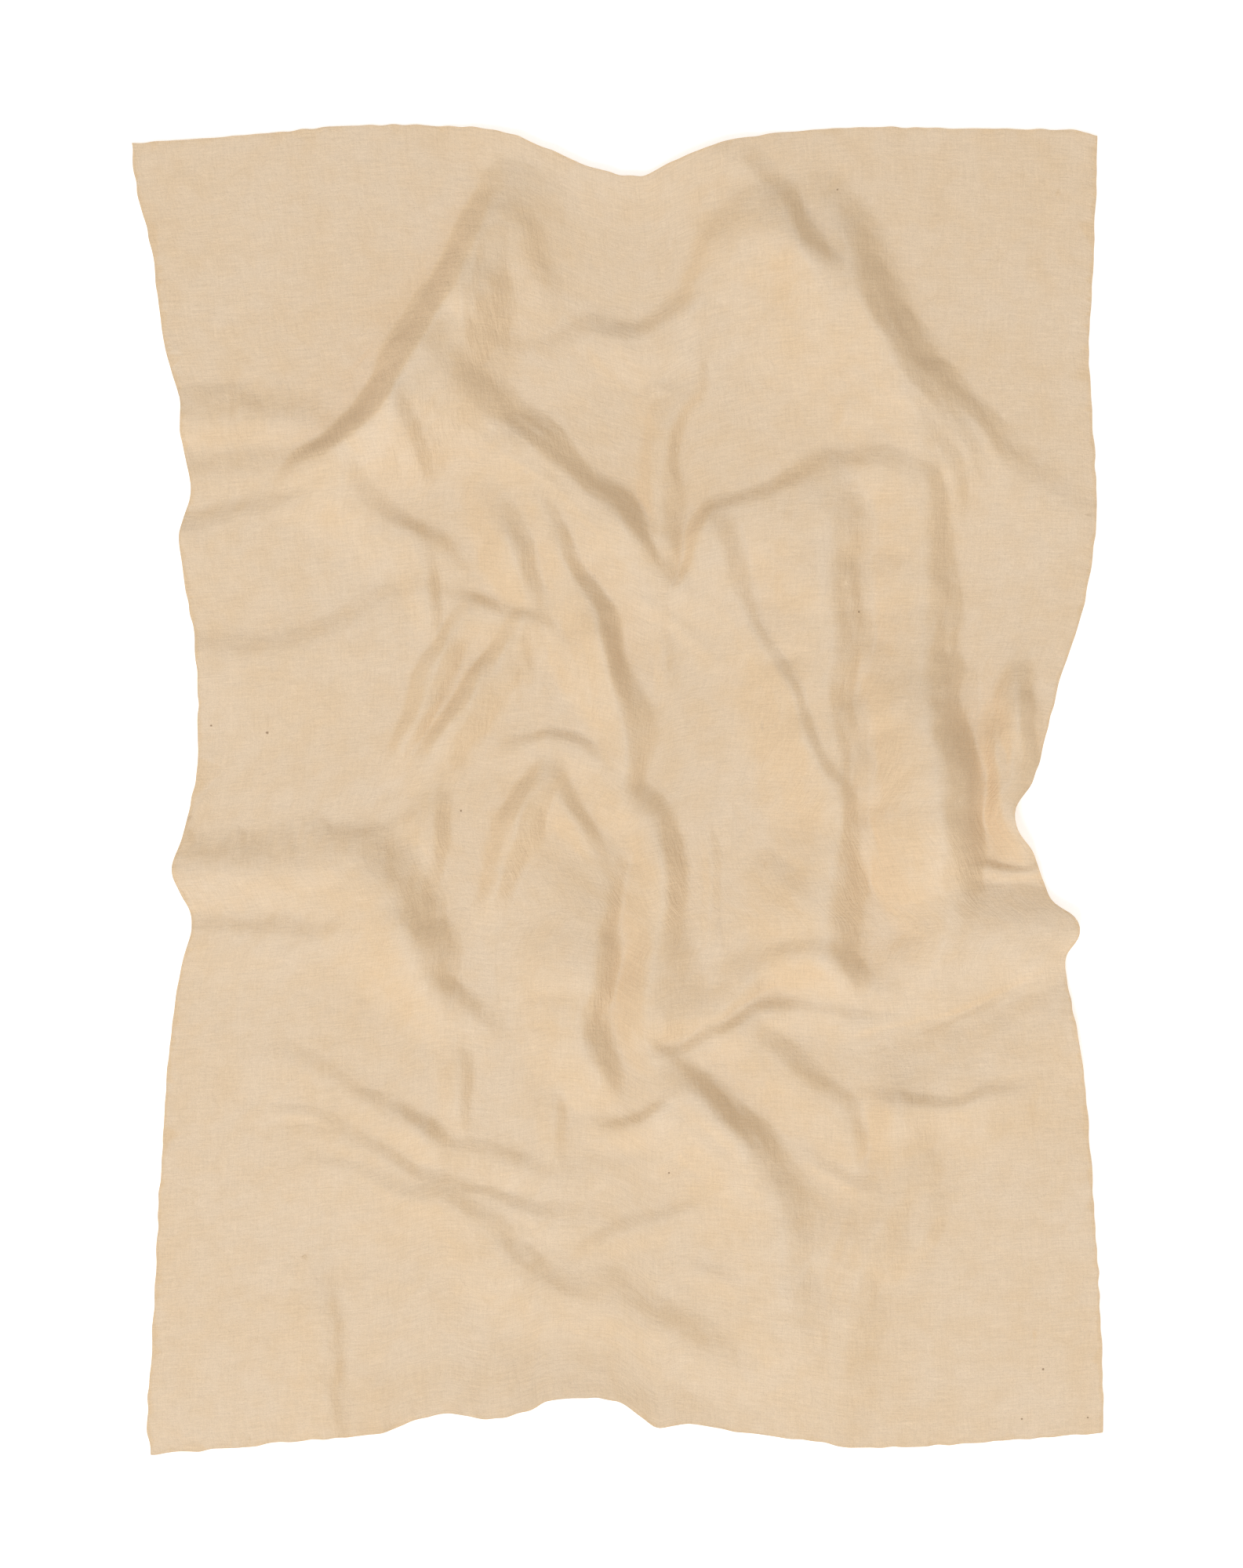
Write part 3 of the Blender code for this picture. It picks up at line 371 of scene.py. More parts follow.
# Where the cloth is puckered: an oval of fine ridges that run along its long way, which is turned from +X.
Puckers = namedtuple("Puckers", "name x y half_run half_spread turn pitch height")
PUCKERS = (
    Puckers("left_swell_top", -53, 55, 3.4, 11, 90, 1.1, 0.14),
    Puckers("left_swell_second", -54, 46.6, 2.6, 9, 90, 1.1, 0.14),
    Puckers("left_ridge_flank", -50, -6.6, 3.4, 13, 90, 1, 0.17),
    Puckers("left_ripple", -50, -18.6, 2, 11, 80, 2.2, 0.12),
    Puckers("left_ridge_bend", -27.5, -14, 6, 10, 75, 0.9, 0.17),
    Puckers("left_ridge_foot", -22, -29, 6, 5, 80, 0.9, 0.13),
    Puckers("left_arm_flank", -33, 63, 12, 4, 55, 1, 0.17),
    Puckers("left_arm_east", -18, 70, 9, 5, 85, 1.1, 0.15),
    Puckers("bulge_flank", 55, -15.6, 3, 9, 62, 0.9, 0.15),
    Puckers("trough", 34, -8, 18, 3.4, 88, 0.9, 0.13),
    Puckers("trough_high", 33.5, 25, 16, 4, 89, 1.2, 0.10),
    Puckers("pocket_side", 54, 3, 9, 2.6, 82, 0.9, 0.20),
    Puckers("long_ridge_flank", 46.5, 28, 12, 3, 86, 0.9, 0.14),
    Puckers("right_arm_flank", 40, 68, 14, 3.4, 124, 1, 0.12),
    Puckers("right_arm_foot", 50, 50, 10, 5, 130, 1.4, 0.14),
    Puckers("foot_slant_flank", 19, -47, 10, 3, 130, 0.9, 0.14),
    Puckers("foot_grey", 29, -64, 12, 5, 75, 1.1, 0.10),
    Puckers("foot_rib", -39.4, -82, 12, 2.6, 92, 1, 0.14),
    Puckers("foot_lower_bend", -12, -66, 7, 4, 140, 1.1, 0.14),
    Puckers("crescent", -3.5, -31, 9, 3, 80, 0.9, 0.12),
    Puckers("twin_side", -21, 14, 12, 7, 65, 1.2, 0.11),
    Puckers("winding_left", -10, 17, 13, 6, 96, 1.2, 0.10),
    Puckers("winding_right", 7.5, 16, 11, 4, 94, 1.3, 0.08),
    Puckers("tent", -13, -7, 11, 5, 75, 1.1, 0.11),
    Puckers("v_left_flank", -10, 49, 14, 4, 140, 1, 0.10),
    Puckers("head_middle", 5, 76, 7, 15, 60, 1.8, 0.06),
    Puckers("foot_middle", 34, -72, 14, 6, 78, 1.2, 0.09),
    Puckers("foot_slant_right", 27, -41, 4, 9, 60, 1.1, 0.09),
    Puckers("foot_left", -26, -50, 4, 18, 70, 1.3, 0.07),
)

# Dark flecks of flax in the front cloth.
Speck = namedtuple("Speck", "name x y radius")
SPECKS = (
    Speck("foot_right", 60, -81.7, 0.22),
    Speck("foot_corner", 57, -88.7, 0.18),
    Speck("far_corner", 66.3, -88.5, 0.16),
    Speck("foot_middle", 7.3, -54, 0.18),
    Speck("right", 34, 25, 0.20),
    Speck("left_edge", -57.2, 9, 0.20),
    Speck("left", -49.3, 8, 0.26),
    Speck("middle_left", -22, -3, 0.18),
    Speck("head", 31, 84.5, 0.18),
)

# The cloth's random wavering: the size of one swell across and along it, and the seed of its draw.
Waver = namedtuple("Waver", "across along seed")
SIDE_STRAY, END_STRAY = Waver(0.100, 0.016, 31), Waver(0.016, 0.100, 33)
DRIFT_ACROSS, DRIFT_ACROSS_FINE = Waver(0.050, 0.050, 21), Waver(0.018, 0.018, 23)
DRIFT_ALONG, DRIFT_ALONG_FINE = Waver(0.050, 0.050, 25), Waver(0.018, 0.018, 27)
SWELL, RIPPLE, FINE_RIPPLE = Waver(0.060, 0.052, 3), Waver(0.022, 0.025, 5), Waver(0.010, 0.012, 9)
SIDE_PUCKER, END_PUCKER = Waver(0.030, 0.0085, 13), Waver(0.0085, 0.030, 17)
FIRST_FOLD_SEED = 40
FIRST_PUCKERS_SEED = 200

# How far in from the edge the hem's straying and the seam's puckers fade to a third.
STRAY_REACH = 0.012
SIDE_SEAM_REACH = 0.016
END_SEAM_REACH = 0.012

# How much a fold's widths and its height waver along its crest, and the length of one swell there.
WIDTH_WAVER = 0.16
HEIGHT_WAVER = 0.07
CREST_SWELL = 0.035
NARROWEST_FLANK = 0.8 * CM

# A flank's streaks: how wide and long each is, and the slope over which they get no higher.
STREAK_WIDTH = 0.0065
STREAK_LENGTH = 0.042
FULLY_STREAKED = 0.8

# A puckered oval's ridges, in shares of their pitch.
PUCKER_LENGTH = 3.2
PUCKER_WIDTH = 0.55

# Passes of blur over the folds and over the reading of where the cloth is lifted, and the height that counts.
FOLD_PASSES = 4
LIFTED_PASSES = 20
FULLY_LIFTED = 0.008

# The least upward share of a direction: of a corner's, which the thickness follows, and of a sound face's.
STEEPEST = 0.42
LEAST_UPWARD = 0.25

# The least likeness of a face's direction to its corner's, from 0 to 1.
LEAST_ALIKE = 0.86

# The height and the slope at which the marks read the cloth as fully raised and fully steep: the painted
# highlight on raised cloth and the painted warm shade on steep flanks are full there.
FULLY_RAISED = 0.045
FULLY_STEEP = 0.7

# Patterns on the flat cloth: how many swells to a metre across and along it, their detail and roughness.
Pattern = namedtuple("Pattern", "across along detail roughness")
THREAD_BEND = Pattern(45, 45, 2, 0.5)
SLUB_OVER, SLUB_DOWN = Pattern(22, 520, 3, 0.65), Pattern(520, 22, 3, 0.65)
GRAIN, MOTTLE = Pattern(560, 560, 2, 0.75), Pattern(210, 210, 3, 0.65)
BLOTCH, CLOUD, CRINKLE = Pattern(26, 26, 3, 0.55), Pattern(5, 5, 2, 0.5), Pattern(105, 105, 4, 0.62)
FEATHER_DOWN, FEATHER_OVER = Pattern(210, 34, 3, 0.6), Pattern(34, 210, 3, 0.6)
BEND_WIDTH = 0.0006
BUMP_DEPTH = 0.0011

# The stage: the floor's half width and its drop under the cover, the way to the key light, and the film.
FLOOR_HALF = 30.0
FLOOR_DROP = 0.0005
TO_KEY = (-0.38, -0.92, 0.91)
FILM_WIDTH = 36.0
NEAREST_SEEN, FARTHEST_SEEN = 0.1, 60.0


def amount(name, description, default, unit="NONE"):
    return bpy.props.FloatProperty(name=name, description=description, default=default, unit=unit)


def length(name, description, default):
    return amount(name, description, default, "LENGTH")


def colour(name, description, default):
    return bpy.props.FloatVectorProperty(
        name=name, description=description, default=default, subtype="COLOR", size=3)


class CoverSizes(bpy.types.PropertyGroup):
    cloth_thickness: length("Cloth Thickness", "Of one linen panel", 0.0012)
    panel_gap: length("Panel Gap", "Between the two panels", 0.0006)
    cell: length("Cell", "Of the fine grid before its flat parts are thinned", 0.0030)
    front_faces: bpy.props.IntProperty(
        name="Front Faces", description="Triangles on the front cloth's upper side", default=97000)
    back_faces: bpy.props.IntProperty(
        name="Back Faces", description="Triangles on the back cloth's upper side", default=24000)
    swell_height: length("Swell Height", "Of the cloth's broad wavering", 0.0010)
    ripple_height: length("Ripple Height", "Of the finger-wide wavering", 0.0006)
    streak_height: length("Streak Height", "Of the fine streaks beside the crests", 0.0019)
    seam_pucker: length("Seam Pucker", "Height of the puckers that the edge seams draw up", 0.0007)
    edge_waver: length("Edge Waver", "How far the hem strays in and out", 0.0014)
    drift: length("Drift", "How far a fold strays from its smooth line", 0.0032)
    thread_pitch: length("Thread Pitch", "From one thread of the weave to the next", 0.0009)


class LinenColours(bpy.types.PropertyGroup):
    sand: colour("Sand", "The front's linen", (0.820, 0.649, 0.474))
    # Besides the dye's warmer blotches, this is also the painted warm shade on steep flanks.
    deep_sand_and_shade: colour("Deep Sand", "Where the dye took warmer", (0.790, 0.584, 0.376))
    underside: colour("Underside", "The back's linen", (0.760, 0.565, 0.380))
    fleck: colour("Fleck", "The few dark flax flecks", (0.30, 0.19, 0.11))


class StageLook(bpy.types.PropertyGroup):
    floor_colour: colour("Floor", "The white floor", (0.97, 0.97, 0.97))
    floor_glow: amount("Floor Glow", "How much the floor is lit from under", 0.38)
    key_strength: amount("Key", "Strength of the soft light from the foot and the left", 1.45)
    key_colour: colour("Key Colour", "Of that light", (0.93, 0.96, 1.0))
    key_angle: bpy.props.FloatProperty(
        name="Key Angle", description="How wide that light is", default=math.radians(28), subtype="ANGLE")
    fill_strength: amount("Fill", "Strength of the light from all round", 0.69)
    fill_colour: colour("Fill Colour", "Of that light", (0.985, 0.975, 0.950))
    lens: amount("Lens", "Focal length of the camera in millimetres", 120.0)


def smooth_line(points, step=0.7 * CM):
    """A Catmull-Rom curve through points given in centimetres, as rows of metres a small step apart."""
    knots = np.array(points, float) * CM
    knots = np.vstack([2 * knots[0] - knots[1], knots, 2 * knots[-1] - knots[-2]])
    runs = []
    for before, start, end, after in zip(knots[:-3], knots[1:-2], knots[2:-1], knots[3:]):
        steps = max(2, int(np.hypot(*(end - start)[:2]) / step))
        t = np.arange(steps)[:, None] / steps
        linear = (end - before) * t
        square = (2 * before - 5 * start + 4 * end - after) * t**2
        cubic = (3 * start - before - 3 * end + after) * t**3
        runs.append(0.5 * (2 * start + linear + square + cubic))
    runs.append(knots[-2][None])
    return np.vstack(runs)


def laid_outline(u, v):
    """Where a point of the flat panel lies, for u and v from 0 to 1 across and along it (a Coons patch)."""
    left, right, foot, head = (smooth_line(side.points) for side in (LEFT, RIGHT, FOOT, HEAD))
    left_y = left[0, 1] + (left[-1, 1] - left[0, 1]) * v
    right_y = right[0, 1] + (right[-1, 1] - right[0, 1]) * v
    foot_x = foot[0, 0] + (foot[-1, 0] - foot[0, 0]) * u
    head_x = head[0, 0] + (head[-1, 0] - head[0, 0]) * u
    left_x = np.interp(left_y, left[:, 1], left[:, 0])
    right_x = np.interp(right_y, right[:, 1], right[:, 0])
    foot_y = np.interp(foot_x, foot[:, 0], foot[:, 1])
    head_y = np.interp(head_x, head[:, 0], head[:, 1])

    def patch(on_left, on_right, on_foot, on_head, axis):
        corners = (1 - u) * ((1 - v) * foot[0, axis] + v * head[0, axis])
        corners = corners + u * ((1 - v) * foot[-1, axis] + v * head[-1, axis])
        return (1 - u) * on_left + u * on_right + (1 - v) * on_foot + v * on_head - corners

    return patch(left_x, right_x, foot_x, head_x, 0), patch(left_y, right_y, foot_y, head_y, 1)


def flank(t, form):
    """A flank's height as a share of its crest's, for t from 0 at the crest to 1 at the foot."""
    t = np.clip(t, 0, 1)
    even = (1 - t) ** 2 * (1 + 2 * t)
    steep_crest = (1 - t) ** 2
    steep_foot = 1 - t**2
    return even + np.clip(form, 0, 1) * (steep_crest - even) + np.clip(-form, 0, 1) * (steep_foot - even)


def ridge_height(line, x, y, left_form, right_form, streak=0.0, seed=0):
    """The height over x and y of one ridge, whose crest's rows are x, y, height, left width and right width.

    Its flanks carry streaks of that height, which run beside the crest.
    """
    reach = line[:, 3:].max()
    low, high = line[:, :2].min(axis=0) - reach, line[:, :2].max(axis=0) + reach
    near = np.flatnonzero((x > low[0]) & (x < high[0]) & (y > low[1]) & (y < high[1]))
    near_x, near_y = x[near], y[near]
    highest, beside, along, slope = (np.zeros(len(near)) for _ in range(4))
    travelled = 0.0
    for start, end in zip(line[:-1], line[1:]):
        run_x, run_y = (end - start)[:2]
        length = math.hypot(run_x, run_y) + 1e-9
        close = np.flatnonzero(
            (np.abs(near_x - start[0]) < reach + length) & (np.abs(near_y - start[1]) < reach + length))
        off_x, off_y = near_x[close] - start[0], near_y[close] - start[1]
        share = np.clip((off_x * run_x + off_y * run_y) / length**2, 0, 1)
        off_x, off_y = off_x - share * run_x, off_y - share * run_y
        distance = np.hypot(off_x, off_y) + 1e-9
        side = (run_x * off_y - run_y * off_x) / (length * distance)
        crest, left, right = (start[column] + share * (end - start)[column] for column in (2, 3, 4))
        width = right + (left - right) * (0.5 + 0.5 * side)
        form = right_form + (left_form - right_form) * (0.5 + 0.5 * side)
        height = np.maximum(crest, 0) * flank(distance / width, form)
        taller = height > highest[close]
        chosen = close[taller]
        highest[chosen] = height[taller]
        beside[chosen] = (distance * side)[taller]
        along[chosen] = travelled + (share * length)[taller]
        slope[chosen] = (4 * height * (crest - height) / (crest * width + 1e-9))[taller]
        travelled += length
    if streak and len(near):
        streaks = waver(beside, along, STREAK_WIDTH, STREAK_LENGTH, seed)
        highest = highest + streak * np.clip(slope, 0, FULLY_STREAKED) * streaks
    result = np.zeros_like(x)
    result[near] = np.maximum(highest, 0)
    return result


def fold_height(fold, x, y, streak, seed):
    """One fold's height, its widths and height wavering a little along its crest."""
    line = smooth_line(fold.crest)
    steps = np.hypot(*np.diff(line[:, :2], axis=0).T)
    travelled = np.concatenate([[0.0], np.cumsum(steps)])
    for column, share in ((2, HEIGHT_WAVER), (3, WIDTH_WAVER), (4, WIDTH_WAVER)):
        line[:, column] *= 1 + share * waver(travelled, travelled * 0, CREST_SWELL, 1.0, seed * 10 + column)
    line[:, 3:] = np.maximum(line[:, 3:], NARROWEST_FLANK)
    return ridge_height(line, x, y, fold.left_form, fold.right_form, streak, seed)


def crease_height(crease, x, y):
    """A crease fades in and out over its length."""
    line = smooth_line([(*point, 0, crease.width, crease.width) for point in crease.points])
    line[:, 2] = np.sin(np.linspace(0.12, math.pi - 0.12, len(line)))
    return crease.height * CM * ridge_height(line, x, y, 0, 0)


def pucker_height(pucker, x, y, seed):
    """Fine uneven ridges that fade out towards the rim of their oval."""
    turn = math.radians(pucker.turn)
    off_x, off_y = x - pucker.x * CM, y - pucker.y * CM
    run = off_x * math.cos(turn) + off_y * math.sin(turn)
    spread = off_y * math.cos(turn) - off_x * math.sin(turn)
    run_share, spread_share = run / (pucker.half_run * CM), spread / (pucker.half_spread * CM)
    inside = np.clip(1 - run_share**2 - spread_share**2, 0, 1)
    within = np.flatnonzero(inside > 0)
    pitch = pucker.pitch * CM
    result = np.zeros_like(x)
    ridges = waver(run[within], spread[within], PUCKER_LENGTH * pitch, PUCKER_WIDTH * pitch, seed)
    result[within] = pucker.height * CM * np.sqrt(inside[within]) * ridges
    return result


def waver(x, y, cell_x, cell_y, seed):
    """A smooth random surface between about -1 and 1, with one swell or hollow to a cell of that size."""
    u, v = (x - x.min()) / cell_x + 1, (y - y.min()) / cell_y + 1
    column, row = np.floor(u).astype(int), np.floor(v).astype(int)
    lattice = np.random.default_rng(seed).uniform(-1, 1, (row.max() + 3, column.max() + 3))
    weights = []
    for t in (u - column, v - row):
        weights.append((
            0.5 * (-t + 2 * t**2 - t**3), 0.5 * (2 - 5 * t**2 + 3 * t**3),
            0.5 * (t + 4 * t**2 - 3 * t**3), 0.5 * (t**3 - t**2)))
    total = np.zeros_like(x)
    for i, across in enumerate(weights[0]):
        for j, along in enumerate(weights[1]):
            total += across * along * lattice[row + j - 1, column + i - 1]
    return total


def softened(grid, passes):
    """The grid of heights after that many passes of a small even blur."""
    for _ in range(passes):
        wide = np.pad(grid, 1, mode="edge")
        grid = (wide[:-2, 1:-1] + wide[2:, 1:-1] + wide[1:-1, :-2] + wide[1:-1, 2:] + 2 * grid) / 6
    return grid


def folded_grid(sizes):
    """The cover's fine surface as grids of x, y and z, and the flat panel's own u and v."""
    across, along = round(FLAT_WIDTH / sizes.cell), round(FLAT_LENGTH / sizes.cell)
    u, v = np.meshgrid(np.linspace(0, 1, across), np.linspace(0, 1, along))
    x, y = laid_outline(u, v)
    x -= (x.min() + x.max()) / 2 - (CAD_BOX[0].x + CAD_BOX[1].x) / 2
    y -= (y.min() + y.max()) / 2 - (CAD_BOX[0].y + CAD_BOX[1].y) / 2
    from_side = np.minimum(u, 1 - u) * FLAT_WIDTH
    from_end = np.minimum(v, 1 - v) * FLAT_LENGTH
    x = x + sizes.edge_waver * np.exp(-from_side / STRAY_REACH) * waver(x, y, *SIDE_STRAY)
    y = y + sizes.edge_waver * np.exp(-from_end / STRAY_REACH) * waver(x, y, *END_STRAY)
    stray_x = sizes.drift * (waver(x, y, *DRIFT_ACROSS) + 0.4 * waver(x, y, *DRIFT_ACROSS_FINE))
    stray_y = sizes.drift * (waver(x, y, *DRIFT_ALONG) + 0.4 * waver(x, y, *DRIFT_ALONG_FINE))
    place = (x + stray_x).ravel(), (y + stray_y).ravel()
    z = sum(
        fold_height(fold, *place, sizes.streak_height, FIRST_FOLD_SEED + i) for i, fold in enumerate(FOLDS))
    z = z + sum(crease_height(crease, *place) for crease in CREASES)
    z = z + sum(pucker_height(pucker, *place, FIRST_PUCKERS_SEED + i) for i, pucker in enumerate(PUCKERS))
    z = softened(z.reshape(x.shape), FOLD_PASSES)
    lifted = np.clip(softened(z, LIFTED_PASSES) / FULLY_LIFTED, 0, 1)
    z = z + sizes.swell_height * (0.30 + 0.70 * lifted) * waver(x, y, *SWELL)
    z = z + sizes.ripple_height * (0.25 + 0.75 * lifted) * waver(x, y, *RIPPLE)
    z = z + sizes.ripple_height * 0.35 * waver(x, y, *FINE_RIPPLE)
    z = z + sizes.seam_pucker * np.exp(-from_side / SIDE_SEAM_REACH) * waver(x, y, *SIDE_PUCKER)
    z = z + sizes.seam_pucker * np.exp(-from_end / END_SEAM_REACH) * waver(x, y, *END_PUCKER)
    return x, y, np.maximum(z, 0.0), u, v


def surface_mesh(name, grids, faces):
    """The grids as a mesh, its flatter parts in fewer faces, with the flat panel's metres as its UV map."""
    x, y, z, u, v = grids
    rows, columns = x.shape
    corner = (np.arange(rows - 1)[:, None] * columns + np.arange(columns - 1)).ravel()
    quads = np.stack([corner, corner + 1, corner + columns + 1, corner + columns], axis=1)
    fine = bpy.data.meshes.new(name + "_fine")
    fine.vertices.add(rows * columns)
    fine.vertices.foreach_set("co", np.stack([x, y, z], axis=-1).astype(np.float32).ravel())
    fine.loops.add(quads.size)
    fine.loops.foreach_set("vertex_index", quads.astype(np.int32).ravel())
    fine.polygons.add(len(quads))
    fine.polygons.foreach_set("loop_start", np.arange(0, quads.size, 4, dtype=np.int32))
    fine.polygons.foreach_set("loop_total", np.full(len(quads), 4, dtype=np.int32))
    fine.update(calc_edges=True)
    flat = fine.uv_layers.new(name="flat")
    metres = np.stack([u * FLAT_WIDTH, v * FLAT_LENGTH], axis=-1).reshape(-1, 2)
    flat.data.foreach_set("uv", metres[quads.ravel()].astype(np.float32).ravel())
    guide = bpy.data.objects.new(name + "_fine", fine)
    bpy.context.scene.collection.objects.link(guide)
    inner = guide.vertex_groups.new(name="inner")
    inside = np.arange(rows * columns).reshape(rows, columns)[1:-1, 1:-1]
    inner.add(inside.ravel().tolist(), 1.0, "REPLACE")
    thin = guide.modifiers.new("few_faces", "DECIMATE")
    thin.vertex_group = inner.name
    thin.use_collapse_triangulate = True
    thin.ratio = faces / (2 * len(quads))
    graph = bpy.context.evaluated_depsgraph_get()
    mesh = bpy.data.meshes.new_from_object(guide.evaluated_get(graph))
    mesh.name = name
    bpy.data.objects.remove(guide, do_unlink=True)
    bpy.data.meshes.remove(fine)
    return mesh


def out_of_line(face, vert):
    return face.normal.z < LEAST_UPWARD or face.normal.dot(vert.normal) < LEAST_ALIKE


def mend_slivers(bm, rounds=3):
    """Evens out the few corners where thinning the grid left a face turned over or out of line."""
    for _ in range(rounds):
        bm.normal_update()
        bad = [
            vert for vert in bm.verts
            if not vert.is_boundary and any(out_of_line(face, vert) for face in vert.link_faces)
        ]
        bmesh.ops.smooth_vert(bm, verts=bad, factor=0.5, use_axis_x=True, use_axis_y=True, use_axis_z=True)
    bm.normal_update()


def mark_slopes(mesh):
    """Writes on each corner how raised it is and how steep across and along the cover, each from 0 to 1, for
    the linen's painted highlight and painted shade and for its feathering.
    """
    normals = np.empty(len(mesh.vertices) * 3, np.float32)
    mesh.vertex_normals.foreach_get("vector", normals)
    normals = np.abs(normals.reshape(-1, 3))
    raised = np.clip(np.array([vert.co.z for vert in mesh.vertices], np.float32) / FULLY_RAISED, 0, 1)
    mesh.attributes.new("raised", "FLOAT", "POINT").data.foreach_set("value", raised)
    for name, axis in (("steep_across", 0), ("steep_along", 1)):
        slope = normals[:, axis] / np.maximum(normals[:, 2], 0.3)
        mark = mesh.attributes.new(name, "FLOAT", "POINT")
        mark.data.foreach_set("value", np.clip(slope / FULLY_STEEP, 0, 1).astype(np.float32))


def cloth_piece(name, mesh, lift, thickness, material):
    """The surface as a closed sheet of cloth, its underside `lift` off the surface, square to every slope."""
    bm = bmesh.new()
    bm.from_mesh(mesh)
    mend_slivers(bm)
    rise = {}
    for vert in bm.verts:
        stretch = 1.0 / max(vert.normal.z, STEEPEST)
        vert.co.z += lift * stretch
        rise[tuple(vert.co)] = thickness * stretch
    extruded = bmesh.ops.extrude_face_region(bm, geom=bm.faces[:])["geom"]
    for vert in (item for item in extruded if isinstance(item, bmesh.types.BMVert)):
        vert.co.z += rise[tuple(vert.co)]
    bmesh.ops.recalc_face_normals(bm, faces=bm.faces[:])
    rim = {face for face in bm.faces if len(face.verts) == 4}
    for edge in (edge for face in rim for edge in face.edges):
        edge.smooth = all(face in rim for face in edge.link_faces)
    bm.to_mesh(mesh)
    bm.free()
    mesh.materials.clear()
    mesh.materials.append(material)
    mesh.shade_smooth()
    mark_slopes(mesh)
    piece = bpy.data.objects.new(name, mesh)
    bpy.context.scene.collection.objects.link(piece)
    return piece


class Reading:
    """A value that varies over a surface: a shader socket that Python's own operators add Math nodes to."""

    def __init__(self, finish, socket):
        self.finish = finish
        self.socket = socket

    def _math(self, operation, *values):
        return self.finish.node("ShaderNodeMath", {"operation": operation}, dict(enumerate(values)))

    def __add__(self, other):
        return self._math("ADD", self, other)

    def __radd__(self, other):
        return self._math("ADD", other, self)

    def __sub__(self, other):
        return self._math("SUBTRACT", self, other)

    def __rsub__(self, other):
        return self._math("SUBTRACT", other, self)

    def __mul__(self, other):
        return self._math("MULTIPLY", self, other)

    def sine(self):
        return self._math("SINE", self)

    def ramp(self, low, high):
        """0 under low and 1 over high, with a smooth rise between."""
        return self.finish.node(
            "ShaderNodeMapRange", {"interpolation_type": "SMOOTHSTEP"},
            {"Value": self, "From Min": low, "From Max": high}, "Result")


class Finish:
    """One material and the nodes that are added to it."""

    def __init__(self, name):
        self.material = bpy.data.materials.new(name)
        self.material.use_nodes = True
        self.tree = self.material.node_tree
        self.shader = self.tree.nodes["Principled BSDF"]

    def node(self, kind, settings=None, inputs=None, output=0):
        made = self.tree.nodes.new(kind)
        for key, value in (settings or {}).items():
            setattr(made, key, value)
        for key, value in (inputs or {}).items():
            self.feed(made.inputs[key], value)
        return Reading(self, made.outputs[output])

    def feed(self, socket, value):
        if isinstance(value, Reading):
            self.tree.links.new(value.socket, socket)
        else:
            socket.default_value = value

    def noise(self, place, pattern):
        """A pattern's noise over a place, from 0 to 1."""
        scale = (pattern.across, pattern.along, 1.0)
        where = self.node("ShaderNodeMapping", {}, {"Vector": place, "Scale": scale})
        look = {"Vector": where, "Scale": 1.0, "Detail": pattern.detail, "Roughness": pattern.roughness}
        return self.node("ShaderNodeTexNoise", {}, look, "Fac")

    def mark(self, name):
        """What the mesh's attribute of that name says."""
        return self.node("ShaderNodeAttribute", {"attribute_name": name}, {}, "Fac")

    def parts(self, place):
        """A place's X and Y."""
        split = self.tree.nodes.new("ShaderNodeSeparateXYZ")
        self.feed(split.inputs[0], place)
        return Reading(self, split.outputs["X"]), Reading(self, split.outputs["Y"])

    def mix(self, factor, first, second, blend="MIX"):
        made = self.tree.nodes.new("ShaderNodeMix")
        made.data_type = "RGBA"
        made.blend_type = blend
        self.feed(made.inputs["Factor"], factor)
        for socket, value in zip((s for s in made.inputs if s.type == "RGBA"), (first, second)):
            self.feed(socket, value if isinstance(value, Reading) else (*value, 1.0))
        return Reading(self, next(s for s in made.outputs if s.type == "RGBA"))


def woven(finish, flat, pitch):
    """The weave's rise and fall, from -1 to 1: two crossed rows of threads that bend a little."""
    across, along = finish.parts(flat)
    bend = (finish.noise(flat, THREAD_BEND) - 0.5) * BEND_WIDTH
    turns = 2 * math.pi / pitch
    return ((across + bend) * turns).sine() * ((along + bend) * turns).sine()


def flecked(finish, colour, laid, mottle, fleck):
    """The colour with the few dark flecks in it."""
    from_above = finish.node("ShaderNodeVectorMath", {"operation": "MULTIPLY"}, {0: laid, 1: (1.0, 1.0, 0.0)})
    for speck in SPECKS:
        middle = (speck.x * CM, speck.y * CM, 0.0)
        away = finish.node(
            "ShaderNodeVectorMath", {"operation": "DISTANCE"}, {0: from_above, 1: middle}, "Value")
        edge = speck.radius * CM
        colour = finish.mix((1 - (away + mottle * edge).ramp(edge * 0.5, edge)) * 0.8, colour, fleck)
    return colour


